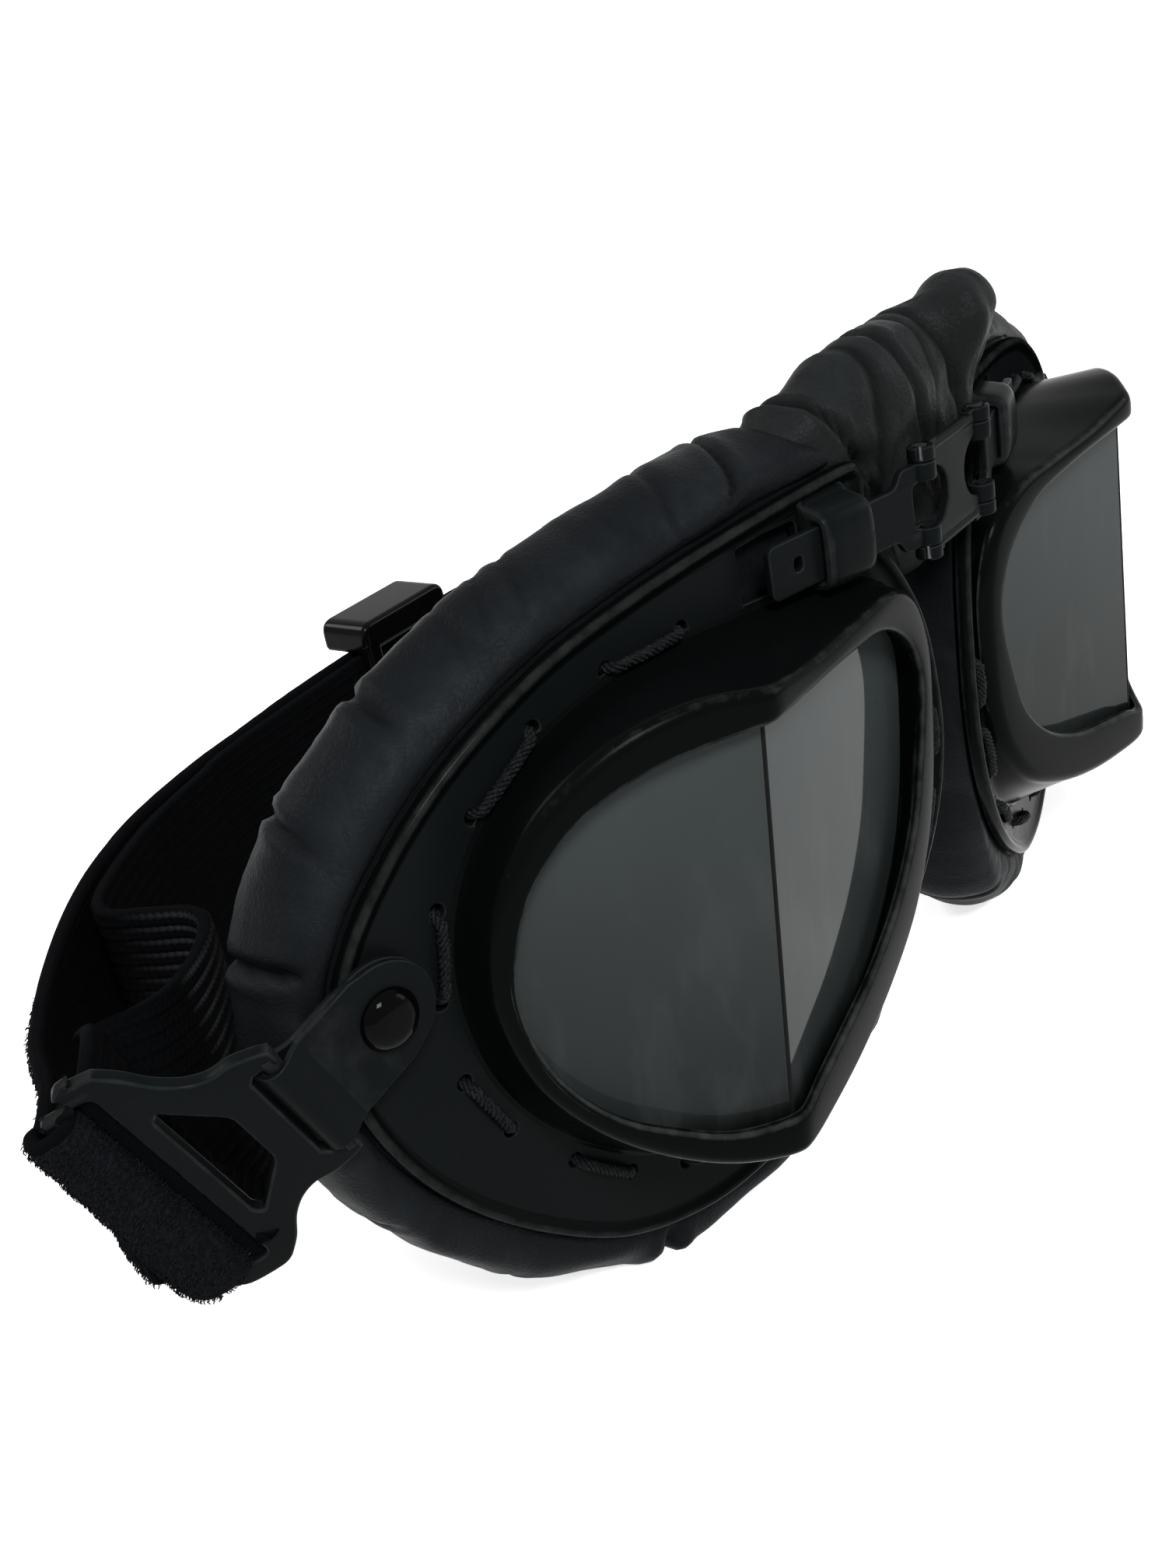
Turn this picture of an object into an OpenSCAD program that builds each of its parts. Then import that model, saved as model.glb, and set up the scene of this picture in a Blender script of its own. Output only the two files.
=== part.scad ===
// Split-lens goggles: two metal eyepieces on a leather pad, a hinged nose bridge and an elastic strap.
// +X is the wearer's left, +Z is up and the lenses face -Y. The pads stand on Z = 0.

/* [Eyepieces] */
// Distance of each eyepiece's centre from the middle
eye_x = 43.3; // [42:0.1:46]
// Turn of each eyepiece back towards the temple, in degrees
wrap = 14.9; // [13:0.1:16]
// Thickness of the face plate
plate_t = 1.2; // [0.8:0.1:1.6]
// Height of the bead round the face plate's edge
bead_h = 0.6; // [0.4:0.1:0.7]
// Width of that bead
bead_w = 1.3; // [0.8:0.1:1.8]

/* [Lens rims and lenses] */
// Height of the rim's front at its ridge, above the plate's back
rim_top = 17.3; // [16.5:0.1:19]
// Slope of the rim's front on the nose side, in degrees
rim_slope_nose = 20; // [19:0.5:20.5]
// Slope of the rim's front on the temple side, in degrees
rim_slope_temple = 19.2; // [18:0.1:20]
// Lean of the ridge from upright, in degrees
ridge_lean = 4.27; // [3:0.01:5.5]
// Depth of the lens ridge behind the rim's front
lens_recess = 2.2; // [1.8:0.1:2.8]
// Slope of the front lens, in degrees
lens_slope_nose = 22.5; // [21:0.5:23.5]
// Slope of the side lens, in degrees
lens_slope_temple = 21; // [20:0.5:23]
// Thickness of the lens panes
lens_t = 1.8; // [1.4:0.1:2.2]
// Gap at the seam between the two panes
seam_gap = 0.1; // [0.06:0.02:0.3]
// Height of the rubber gasket behind the panes
gasket_h = 1.6; // [1.2:0.1:1.8]
// Width of that gasket
gasket_w = 2.4; // [1.8:0.1:3]

/* [Lacing] */
// Radius of the lacing cord
cord_r = 0.68; // [0.5:0.02:0.8]
// Radius of the lacing holes
hole_r = 0.95; // [0.9:0.05:1.15]

/* [Leather pad] */
// How far the pad's roll stands out past the plate's edge
pad_out = 7.4; // [6.4:0.1:8]
// Depth of the pad behind the plate
pad_depth = 16; // [14:0.5:18]
// Thickness of the leather cover over the foam
leather_t = 1.6; // [1.2:0.1:2]
// Gap between the pad and the plate
pad_gap = 0.35; // [0.3:0.05:0.5]
// Height of the nose roll's top above the eyepieces' centres
nose_top = 46; // [45:0.5:47]
// Depth of the nose roll
nose_depth = 12.6; // [11:0.2:14]

/* [Nose bridge] */
// Distance of each hinge axis from the middle
hinge_x = 7.1; // [6.9:0.1:7.4]
// Height of the bridge's middle above the eyepieces' centres
bridge_z = 28.6; // [28.3:0.1:28.8]
// Thickness of the bridge's sheet metal
sheet_t = 1.0; // [0.8:0.1:1.1]
// Height of the link plate
link_h = 10.8; // [10.4:0.1:11]
// Radius of the link's two side cut-outs
link_cut_r = 3.4; // [2.8:0.1:3.6]
// Outer radius of the hinge knuckles
knuckle_r = 1.5; // [1.3:0.05:1.6]
// Radius of the hinge pins
pin_r = 0.7; // [0.6:0.05:0.8]
// Running clearance round the hinge pins
pin_clear = 0.05; // [0.03:0.01:0.08]
// Height of the tongue's stem
tongue_h = 5.8; // [5.2:0.1:6]
// Height of the tongue's head
tongue_head_h = 9.2; // [9:0.1:9.6]
// Sliding clearance of the tongue in its socket
tongue_clear = 0.15; // [0.1:0.05:0.3]
// Wall of the socket
socket_wall = 1.3; // [1:0.1:1.5]
// Length of the socket along the tongue
socket_len = 6.6; // [5:0.2:7]

/* [Temple tab and buckle] */
// Thickness of the tab's sheet metal
tab_t = 0.7; // [0.5:0.05:0.8]
// Width of the tab
tab_w = 11.4; // [10:0.2:11.6]
// Distance from the rivet to the buckle's hinge bar
tab_len = 10; // [9.6:0.1:12]
// Angle of the tab below the plate's horizontal, in degrees
tab_drop = 23.5; // [18:0.1:28]
// Radius of the rivet's head
rivet_r = 3.1; // [2.6:0.1:3.6]
// Radius of the rivet's shank
rivet_shank_r = 1.2; // [1:0.05:1.5]
// Turn of the buckle back from the tab, in degrees
buckle_turn = 28.4; // [22:0.1:34]
// Thickness of the buckle
buckle_t = 1.6; // [1.2:0.1:1.8]
// Radius of the buckle's hinge bar
bar_r = 0.9; // [0.8:0.05:1]

/* [Strap] */
// Width of the strap
strap_w = 25; // [22:0.5:26]
// Thickness of the strap
strap_t = 1.5; // [1.2:0.1:1.8]
// Depth of the strap's back run behind the hinge line
strap_back = 86; // [82:1:92]
// Length of the slider along the strap
slider_len = 17.5; // [15:0.5:20]
// Height of the slider's rails above and below the strap
slider_rail = 5; // [3.6:0.2:5.6]
// Thickness of the slider
slider_t = 1.8; // [1.5:0.1:2.2]

/* [Hidden] */
$fn = 32;

// Outlines in the plane of an eyepiece, clockwise from the nose side, u towards the nose and v up.
// The five paired ones have the same count, so that a wall can run from one to the next.
plate_edge = [
    [31.7, 33.2], [31.6, 30], [32.4, 26.5], [36, 21.5], [39.2, 14.5], [40.6, 6], [40.6, -2],
    [38.6, -10], [34.4, -18], [28.6, -25.5], [21, -32.3], [11.5, -38.2], [1, -40.6], [-8, -39.9],
    [-17, -36.6], [-26, -29.8], [-33.6, -21.8], [-39.2, -13.2], [-42.6, -4], [-42.9, 3.5],
    [-40.6, 10.6], [-34.8, 17.4], [-26, 23.9], [-14, 29.2], [-3, 31.8], [9, 33.6], [21, 34.8],
    [29.4, 35.35], [31, 34.7]
];
rim_base = [
    [36.7, 5], [36.4, -3], [34.2, -10.8], [29.6, -18.2], [22.5, -24], [13.5, -28.2], [5, -30.4],
    [-2.5, -30.8], [-10, -29], [-17, -23.8], [-23, -17.2], [-27, -10], [-29, -2.5], [-29, 5],
    [-26.4, 12.4], [-20.8, 18.6], [-13.4, 22.6], [-5, 24.6], [3.6, 25], [12.5, 24.6],
    [21.5, 24], [29, 22.9], [33.8, 19.4], [36.1, 13]
];
rim_front = [
    [37.8, 5.5], [36.6, -3.5], [33.6, -11], [28.2, -17.6], [20.5, -22], [12, -24.8], [4, -26.2],
    [-2.7, -26.6], [-9.6, -24.9], [-16.2, -21], [-22, -15.6], [-26.4, -9], [-28.6, -1.8],
    [-28.9, 5.2], [-26.7, 12.6], [-21.6, 19.6], [-14.2, 24], [-6.1, 25.6], [1.1, 24.8],
    [10.5, 23.4], [20.5, 22.9], [28.5, 22.3], [34.6, 19.2], [37.6, 12.8]
];
rim_mouth = [
    [34.2, 7], [32.2, -0.5], [29.4, -7], [23.6, -12.8], [15.8, -16.8], [8.5, -18.8], [2, -20.4],
    [-2.3, -21.7], [-9, -21], [-14.8, -18], [-20.2, -14], [-24.4, -8.2], [-26.6, -1.6],
    [-26.6, 5], [-23.8, 12.4], [-18.6, 17.6], [-12.2, 20.2], [-5.6, 21.1], [0.9, 21.2],
    [9, 20.9], [18, 20.3], [25.4, 19.2], [30.9, 16], [33.6, 12]
];
lens_edge = [
    [34.6, 7], [33.6, -1.5], [30.8, -9], [25.6, -15], [18, -19.8], [9.5, -22.4], [3, -23.4],
    [-2.4, -23.9], [-9, -22.4], [-15, -19], [-20.4, -14.6], [-24.6, -8.6], [-26.8, -1.8],
    [-26.8, 5], [-24, 12.4], [-18.8, 17.6], [-12.4, 20.3], [-5.6, 21.2], [0.9, 21.4],
    [9.2, 21.1], [18.2, 20.6], [26, 19.6], [31.6, 16.4], [34.4, 12.2]
];
pad_edge = [
    [40.2, 6], [40, -3], [37.4, -12.5], [31.6, -22], [23.5, -30.4], [14, -36.9], [5, -40.1],
    [-3, -40.4], [-12, -38.6], [-21, -33.8], [-29, -26.4], [-35.6, -18.6], [-40.6, -9.6],
    [-42.9, 0.6], [-41.4, 9], [-35.5, 16.8], [-26.5, 23.6], [-15, 28.8], [-3, 31.8],
    [8, 33.5], [20, 34.8], [29.8, 33.8], [35.4, 27], [38.8, 16.5]
];
// Lacing holes, in pairs, one stitch of cord between the two of a pair
stitches = [
    [[-5.6, 25.9], [4.4, 26.3]], [[-15.2, 23.7], [-23.6, 18.3]], [[-29.6, 11], [-31.4, 2]],
    [[-31, -7.6], [-27.2, -15.6]], [[-20.6, -23.8], [-14, -29.6]], [[-6.6, -33], [2, -34]],
    [[10, -32.8], [18, -29.6]], [[25, -25.4], [31, -19.6]], [[34.4, -14.1], [37.5, -5.6]],
    [[38.4, -2.6], [38.58, 4.2]]
];

ridge_point = [-0.85, -2];      // a point under the ridge, in the eyepiece's plane
rivet_at = [-38.2, 5.1];        // rivet, in the eyepiece's plane
tab_gap = 0.4;                  // washer-thin gap between bead and tab
tab_z = plate_t + bead_h + tab_gap;
tab_mid = tab_z + tab_t;        // between the tab's two layers
tab_shift = -0.3;               // the tab and buckle sit this far off the rivet, along the hinge bar
cut_far = 100;                  // reach of the block that cuts the pads flat
seat_clear = 0.05;              // fit of the panes and gasket in the rim
hinge_w = 3.7;                  // height of the hinge line above the plate's back
hinge_u = (eye_x - hinge_x + hinge_w * sin(wrap)) / cos(wrap);
hinge_y = -hinge_u * sin(wrap) - hinge_w * cos(wrap);
pad_floor = 45.6;               // the pads are cut flat this far below the eyepieces' centres
front_y = -rim_top * cos(wrap) - 0.9 * sin(wrap);
slider_x = -6.7;
strap_y = hinge_y + strap_back;
back_half = 40;                 // half length of the back run
back_drop = 3.4;                // how much nearer its ends lie than its middle
strap_z = -6.5;                 // middle of the strap's back run
back_y = back_y_at(slider_x) + strap_t / 2 + slider_t + 0.75;
mid_y = (front_y + back_y) / 2;
slot_q = 15;                  // middle of the buckle's strap slot, from its hinge bar

// Closed smooth curve through the points, n steps to each
function bend(a, b, c, d, t) = 0.5 * (2 * b + (c - a) * t + (2 * a - 5 * b + 4 * c - d) * t * t
    + (3 * b - a - 3 * c + d) * t * t * t);
function loop(p, n) = [for (i = [0 : len(p) - 1], k = [0 : n - 1])
    bend(p[(i + len(p) - 1) % len(p)], p[i], p[(i + 1) % len(p)], p[(i + 2) % len(p)], k / n)];
// Open smooth curve through the points
function run(p, n) = concat([for (i = [0 : len(p) - 2], k = [0 : n - 1])
    bend(p[max(i - 1, 0)], p[i], p[i + 1], p[min(i + 2, len(p) - 1)], k / n)], [p[len(p) - 1]]);
function unit(a) = a / norm(a);
// Outward direction of a clockwise loop at its point i
function out_dir(p, i) = let (t = unit(p[(i + 1) % len(p)] - p[(i + len(p) - 1) % len(p)])) [-t[1], t[0]];
function grow(p, d) = [for (i = [0 : len(p) - 1]) p[i] + d * out_dir(p, i)];
// Distance from the ridge line, positive on the nose side
function off_ridge(p) = (p[0] - ridge_point[0]) * cos(ridge_lean) - (p[1] - ridge_point[1]) * sin(ridge_lean);
function tent(p, top, a, b) = let (d = off_ridge(p)) top - (d > 0 ? d * tan(a) : -d * tan(b));
function front_w(p) = tent(p, rim_top, rim_slope_nose, rim_slope_temple);
function lens_w(p) = tent(p, rim_top - lens_recess, lens_slope_nose, lens_slope_temple);
// Places in the row's frame before the final shift
function eye_pt(p) = [-eye_x + p[0] * cos(wrap) - p[2] * sin(wrap), -p[0] * sin(wrap) - p[2] * cos(wrap), p[1]];
function tab_pt(p) = eye_pt([rivet_at[0] - p[0] * cos(tab_drop) + p[1] * sin(tab_drop),
    rivet_at[1] - p[0] * sin(tab_drop) - p[1] * cos(tab_drop), tab_mid + p[2]]);
function buckle_pt(q, p, n) = tab_pt([tab_len + q * cos(buckle_turn) + n * sin(buckle_turn), tab_shift + p,
    n * cos(buckle_turn) - q * sin(buckle_turn)]);

// Ring swept round an eyepiece: sections[k] is the list of [u, v, w] points at station k
module ring(sections) {
    m = len(sections);
    n = len(sections[0]);
    polyhedron(
        points = [for (s = sections) each s],
        faces = [for (k = [0 : m - 1], i = [0 : n - 1])
            each let (a = k * n + i, b = k * n + (i + 1) % n, c = ((k + 1) % m) * n + (i + 1) % n,
                d = ((k + 1) % m) * n + i) [[a, b, c], [a, c, d]]]);
}
// Bar swept along an open path: sections[k] is the list of points at station k
module bar(sections) {
    m = len(sections);
    n = len(sections[0]);
    polyhedron(
        points = [for (s = sections) each s],
        faces = concat(
            [[for (i = [n - 1 : -1 : 0]) i]],
            [for (k = [0 : m - 2], i = [0 : n - 1])
                each let (a = k * n + i, b = k * n + (i + 1) % n, c = (k + 1) * n + (i + 1) % n,
                    d = (k + 1) * n + i) [[a, b, c], [a, c, d]]],
            [[for (i = [0 : n - 1]) (m - 1) * n + i]]));
}
// The eyepieces' planes stood up in place
module shift() translate([0, -mid_y, pad_floor]) children();
module right_eye() shift() translate([-eye_x, 0, 0]) rotate([0, 0, -wrap]) rotate([90, 0, 0]) children();
module left_eye() mirror([1, 0, 0]) right_eye() children();
module tab_frame() translate([rivet_at[0], rivet_at[1], tab_mid]) rotate([0, 0, 180 + tab_drop]) children();
module buckle_frame() tab_frame() translate([tab_len, tab_shift, 0]) rotate([0, buckle_turn, 0]) children();

module hole(p, r) translate([p[0], p[1], -1]) cylinder(r = r, h = plate_t + bead_h + 2);

// Face plate: flat flange with a beaded edge, an eye opening, lacing holes and the raised bridge socket
module face_plate() {
    color([0.06, 0.065, 0.065]) {
        edge = loop(plate_edge, 3);
        slot_v = bridge_z;
        slot_u = hinge_u - 16.6;
        difference() {
            union() {
                linear_extrude(plate_t) polygon(edge);
                difference() {
                    translate([0, 0, plate_t / 2]) linear_extrude(plate_t / 2 + bead_h) polygon(edge);
                    translate([0, 0, -1]) linear_extrude(plate_t + bead_h + 2)
                        polygon(loop(grow(plate_edge, -bead_w), 3));
                }
                socket_block(slot_u, slot_v);
            }
            translate([0, 0, -1]) linear_extrude(plate_t + 2) polygon(grow(loop(lens_edge, 2), 0.3));
            for (s = stitches, p = s) hole(p, hole_r);
            hole(rivet_at, rivet_shank_r + 0.05);
            // window under the tongue's end
            translate([slot_u - 9, slot_v - tongue_h / 2 - 0.4, -1])
                cube([8.6, tongue_h + 0.8, plate_t + 2]);
            // passage of the tongue through the socket
            translate([slot_u - 9, slot_v - tongue_h / 2 - tongue_clear, hinge_w - sheet_t / 2 - tongue_clear])
                cube([socket_len + 20, tongue_h + 2 * tongue_clear, sheet_t + 2 * tongue_clear]);
        }
    }
}
module socket_block(u, v) {
    h = tongue_h + 2 * tongue_clear + 2 * socket_wall;
    translate([u, v - h / 2, plate_t / 2])
        cube([socket_len, h, hinge_w + sheet_t / 2 + tongue_clear + socket_wall - plate_t / 2]);
}

// Lens rim: deep wall from the plate to a ridged front, with a mouth in front of the lenses
module lens_rim() {
    base = loop(rim_base, 2);
    front = loop(rim_front, 2);
    mouth = loop(rim_mouth, 2);
    seat = loop(lens_edge, 2);
    color([0.05, 0.055, 0.055]) ring([for (k = [0 : len(base) - 1]) let (
        nf = out_dir(front, k), f = front[k], m = mouth[k], s = seat[k] + 0.02 * out_dir(seat, k),
        f2 = f - 0.7 * nf, m2 = m + 0.7 * out_dir(mouth, k), lw = lens_w(s)) [
        [base[k][0], base[k][1], plate_t],
        [f[0], f[1], front_w(f) - 1.3],
        [f2[0], f2[1], front_w(f2) - 0.2],
        [m2[0], m2[1], front_w(m2)],
        [m[0], m[1], front_w(m) - 0.9],
        [s[0], s[1], lw],
        [s[0], s[1], plate_t]
    ]]);
}

// A slab under the tented lens surface on one side of the ridge, from depth a to depth b
module lens_slab(a, b, side) {
    slope = side > 0 ? lens_slope_nose : lens_slope_temple;
    far = 60;
    top = rim_top - lens_recess;
    translate([ridge_point[0], ridge_point[1], 0]) rotate([0, 0, -ridge_lean])
        rotate([90, 0, 0]) translate([0, 0, -60]) linear_extrude(120)
            polygon([[side * seam_gap / 2, top - a], [side * far, top - a - far * tan(slope)],
                [side * far, top - b - far * tan(slope)], [side * seam_gap / 2, top - b]]);
}
module lens_pane(side) {
    color([0.35, 0.37, 0.37, 0.6]) intersection() {
        translate([0, 0, -20]) linear_extrude(60) polygon(grow(loop(lens_edge, 2), -seat_clear));
        lens_slab(0, lens_t, side);
    }
}
module lens_gasket() {
    outer = grow(loop(lens_edge, 2), -seat_clear);
    inner = grow(outer, -gasket_w);
    color([0.02, 0.02, 0.02]) ring([for (k = [0 : len(outer) - 1]) let (o = outer[k], i = inner[k]) [
        [o[0], o[1], lens_w(o) - lens_t - gasket_h],
        [o[0], o[1], lens_w(o) - lens_t - 0.02],
        [i[0], i[1], lens_w(i) - lens_t - 0.02],
        [i[0], i[1], lens_w(i) - lens_t - gasket_h]
    ]]);
}

// Lacing: stitches of braided cord over the plate, each turned down through its two holes
module lacing_cord() {
    sides = 8;
    color([0.03, 0.03, 0.035]) for (s = stitches) {
        a = s[0];
        b = s[1];
        along = unit(b - a);
        across = [-along[1], along[0]];
        low = plate_t + cord_r;
        path = [[0, -0.3], [0, plate_t - 0.1], [0.35, plate_t + 0.55], [1.1, low + 0.15],
            [norm(b - a) / 2, low + 0.35], [norm(b - a) - 1.1, low + 0.15],
            [norm(b - a) - 0.35, plate_t + 0.55], [norm(b - a), plate_t - 0.1], [norm(b - a), -0.3]];
        tilt = [90, 90, 55, 15, 0, -15, -55, -90, -90];
        bar([for (k = [0 : len(path) - 1]) [for (j = [0 : sides - 1]) let (
            c = cord_r * cos(360 * j / sides), h = cord_r * sin(360 * j / sides),
            d = path[k][0] - h * sin(tilt[k]), z = path[k][1] + h * cos(tilt[k]))
            [a[0] + along[0] * d + across[0] * c, a[1] + along[1] * d + across[1] * c, z]]]);
    }
}

// Pad sections: [share of the way from the lens edge to the plate's edge, distance past it, height]
pad_section = [
    [0.06, 0, -2.6], [0.06, 0, -pad_gap], [1, -0.8, -pad_gap], [1, 0.16 * pad_out, -0.12],
    [1, 0.6 * pad_out, -1.2], [1, 0.9 * pad_out, -3.8], [1, pad_out, -0.42 * pad_depth],
    [1, 0.86 * pad_out, -0.64 * pad_depth], [1, 0.42 * pad_out, -0.88 * pad_depth],
    [0.76, 0, -pad_depth], [0.32, 0, -0.9 * pad_depth], [0.1, 0, -0.5 * pad_depth]
];
foam_section = [
    [0.36, 0, -pad_gap - leather_t], [1, -0.8, -pad_gap - leather_t],
    [1, 0.62 * pad_out - leather_t, -3], [1, pad_out - leather_t, -0.42 * pad_depth],
    [1, 0.86 * pad_out - leather_t, -0.62 * pad_depth], [1, 0.2 * pad_out, -0.88 * pad_depth + leather_t],
    [0.76, 0, -pad_depth + leather_t], [0.42, 0, -0.84 * pad_depth + leather_t]
];
// The roll leans away from the nose and hardly stands out there
function nose_side(p) = max(0, min(1, (p[0] - 24) / 12));
function pad_point(inner, edge, dir, s) = let (n = nose_side(edge),
    thin = max(0, min(1, (edge[1] + 22) / 30)), side = max(0, min(1, (-edge[0] - 33) / 8)),
    p = inner + s[0] * (edge - inner) + s[1] * (1 - 0.9 * n - (0.24 * thin + 0.2 * side) * (1 - n)) * dir)
    [p[0] + 0.36 * n * min(s[2], 0) * s[0], p[1], s[2]];
module pad_ring(section, swell) {
    inner = loop(lens_edge, 2);
    edge = loop(pad_edge, 2);
    ring([for (k = [0 : len(edge) - 1]) [for (s = section)
        pad_point(inner[k], edge[k], out_dir(edge, k), [s[0], s[1] + (s[0] > 0.9 ? swell : 0), s[2]])]]);
}
// Everything under the pads' flat underside, or under a line above it, in the eyepiece's plane
module below_floor(lift)
    translate([-cut_far, lift - pad_floor - cut_far, -cut_far]) cube([2 * cut_far, cut_far, 2 * cut_far]);
module eye_pad() {
    color([0.09, 0.09, 0.1]) difference() {
        pad_ring(pad_section, 0);
        difference() {
            pad_ring(foam_section, 0);
            below_floor(leather_t);
        }
        below_floor(0);
    }
}
module pad_foam() {
    color([0.3, 0.3, 0.28]) difference() {
        pad_ring(foam_section, -0.25);
        below_floor(leather_t + 0.25);
    }
}

// Nose roll: the leather between the two eye pads, arched over the nose, cut clear of the pads
// Rows across it: [x, front, depth, bottom, top below nose_top]
nose_rows = [
    [-19.5, -4.8, 7, 36, 4.6], [-18, -6.2, 9.4, 33, 2.2], [-15, -8.2, 11.4, 27.5, 0.6],
    [-9, -10, 12.6, 20.5, 0.6], [-3, -10.8, 12.6, 17.4, 1.4], [3, -10.8, 12.6, 17.4, 1.4],
    [9, -10, 12.6, 20.5, 0.6], [15, -8.2, 11.4, 27.5, 0.6], [18, -6.2, 9.4, 33, 2.2], [19.5, -4.8, 7, 36, 4.6]
];
module nose_pad() {
    sides = 14;
    color([0.09, 0.09, 0.1]) shift() difference() {
        bar([for (r = nose_rows) let (
            h = (nose_top - r[4] - r[3]) / 2, d = r[2] * nose_depth / 25) [for (j = [0 : sides - 1]) let (
            c = cos(360 * j / sides), s = sin(360 * j / sides),
            sq = 1 / pow(pow(abs(c), 2.4) + pow(abs(s), 2.4), 1 / 2.4))
            [r[0], r[1] + d - d * c * sq, r[3] + h + h * s * sq]]]);
        for (m = [0, 1]) mirror([m, 0, 0]) translate([-eye_x, 0, 0]) rotate([0, 0, -wrap]) rotate([90, 0, 0]) {
            pad_ring([[0, 0, 3], [1, 4, 3], [1, pad_out + 1.2, -1], [1, pad_out + 1.2, -12],
                [1, 0.5 * pad_out, -pad_depth - 1], [0, 0, -pad_depth - 1]], 0.4);
            translate([0, 0, -pad_gap]) linear_extrude(12) polygon(grow(loop(plate_edge, 3), 0.3));
        }
    }
}

// Bridge tongue: stem through the socket and a T head that ends in two knuckles
module bridge_tongue() {
    w0 = hinge_w - sheet_t / 2;
    u0 = hinge_u - 24;
    head_u = hinge_u - 3.8;
    knuckle_h = 2;
    color([0.045, 0.05, 0.05]) difference() {
        union() {
            translate([u0, bridge_z - tongue_h / 2, w0]) cube([head_u - u0 + 0.5, tongue_h, sheet_t]);
            translate([head_u, bridge_z - tongue_head_h / 2, w0]) cube([2.5, tongue_head_h, sheet_t]);
            for (s = [-1, 1]) translate([0, bridge_z + s * (tongue_head_h - knuckle_h) / 2, hinge_w]) {
                translate([head_u + 1, -knuckle_h / 2, -sheet_t / 2])
                    cube([hinge_u - head_u - 1, knuckle_h, sheet_t]);
                translate([hinge_u, knuckle_h / 2, 0]) rotate([90, 0, 0]) cylinder(r = knuckle_r, h = knuckle_h);
            }
        }
        translate([hinge_u, bridge_z + tongue_head_h, hinge_w]) rotate([90, 0, 0])
            cylinder(r = pin_r + pin_clear, h = 2 * tongue_head_h);
        // dimple near the stem's end
        translate([u0 + 3.4, bridge_z, w0 + sheet_t - 0.35]) cylinder(r = 0.8, h = 1);
    }
}

// Centre link: plate with a rolled top and bottom edge, two round side cut-outs and four knuckles
module bridge_link() {
    half = hinge_x - knuckle_r - 0.4;
    knuckle_h = 1.5;
    knuckle_z = tongue_head_h / 2 + 0.15;
    color([0.045, 0.05, 0.05]) shift() translate([0, hinge_y, bridge_z]) difference() {
        union() {
            difference() {
                translate([-half, -sheet_t / 2, -link_h / 2]) cube([2 * half, sheet_t, link_h]);
                for (s = [-1, 1]) translate([s * (half + 0.3), sheet_t, 0]) rotate([90, 0, 0])
                    cylinder(r = link_cut_r, h = 2 * sheet_t);
            }
            for (s = [-1, 1]) {
                translate([-half, 0, s * link_h / 2]) rotate([0, 90, 0])
                    cylinder(r = 0.65 * sheet_t, h = 2 * half);
                for (m = [-1, 1]) {
                    translate([m * hinge_x, 0, s * (knuckle_z + knuckle_h / 2)])
                        cylinder(r = knuckle_r, h = knuckle_h, center = true);
                    translate([m * (hinge_x + half - 1) / 2, 0, s * (knuckle_z + knuckle_h / 2)])
                        cube([hinge_x - half + 1, sheet_t, knuckle_h], center = true);
                }
            }
        }
        for (m = [-1, 1]) translate([m * hinge_x, 0, 0])
            cylinder(r = pin_r + 0.01, h = 2 * link_h, center = true);
    }
}
module hinge_pins() {
    pin_h = 3.7;
    color([0.4, 0.4, 0.42]) shift() translate([0, hinge_y, bridge_z])
        for (m = [-1, 1], s = [-1, 1])
            translate([m * hinge_x, 0, s * (tongue_head_h / 2 + 1.65 - pin_h / 2)])
                cylinder(r = pin_r, h = pin_h, center = true);
}

// Temple tab: a strip folded round the buckle's bar, its two rounded ends fanned under the rivet
module tab_layer(z, h, fan) {
    translate([0, 0, z]) linear_extrude(h) difference() {
        union() {
            translate([0, tab_shift - tab_w / 2]) square([tab_len, tab_w]);
            rotate(fan) intersection() {
                circle(r = 5.1);
                translate([-6, -6]) square([7, 12]);
            }
        }
        circle(r = rivet_shank_r + 0.05);
    }
}
module temple_tab() {
    color([0.05, 0.055, 0.055]) tab_frame() difference() {
        union() {
            tab_layer(0, tab_t, 0);
            tab_layer(-tab_t, tab_t + 0.1, 12);
            translate([tab_len, tab_shift + tab_w / 2, 0]) rotate([90, 0, 0])
                cylinder(r = bar_r + 0.08 + tab_t, h = tab_w);
        }
        translate([tab_len, tab_shift + tab_w, 0]) rotate([90, 0, 0])
            cylinder(r = bar_r + 0.08, h = 2 * tab_w);
    }
}
module temple_rivet() {
    head_z = tab_t + 0.02;
    color([0.02, 0.02, 0.025]) tab_frame() {
        translate([0, 0, -tab_mid - 0.3]) cylinder(r = rivet_shank_r, h = tab_mid + 0.3 + head_z + 0.4);
        translate([0, 0, -tab_mid - 0.3]) cylinder(r = rivet_shank_r + 0.9, h = 0.28);
        translate([0, 0, head_z]) difference() {
            translate([0, 0, -2.2]) rotate_extrude() intersection() {
                circle(r = sqrt(rivet_r * rivet_r + 2.2 * 2.2));
                square(10);
            }
            translate([0, 0, -10]) cube(20, center = true);
        }
    }
}

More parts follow.
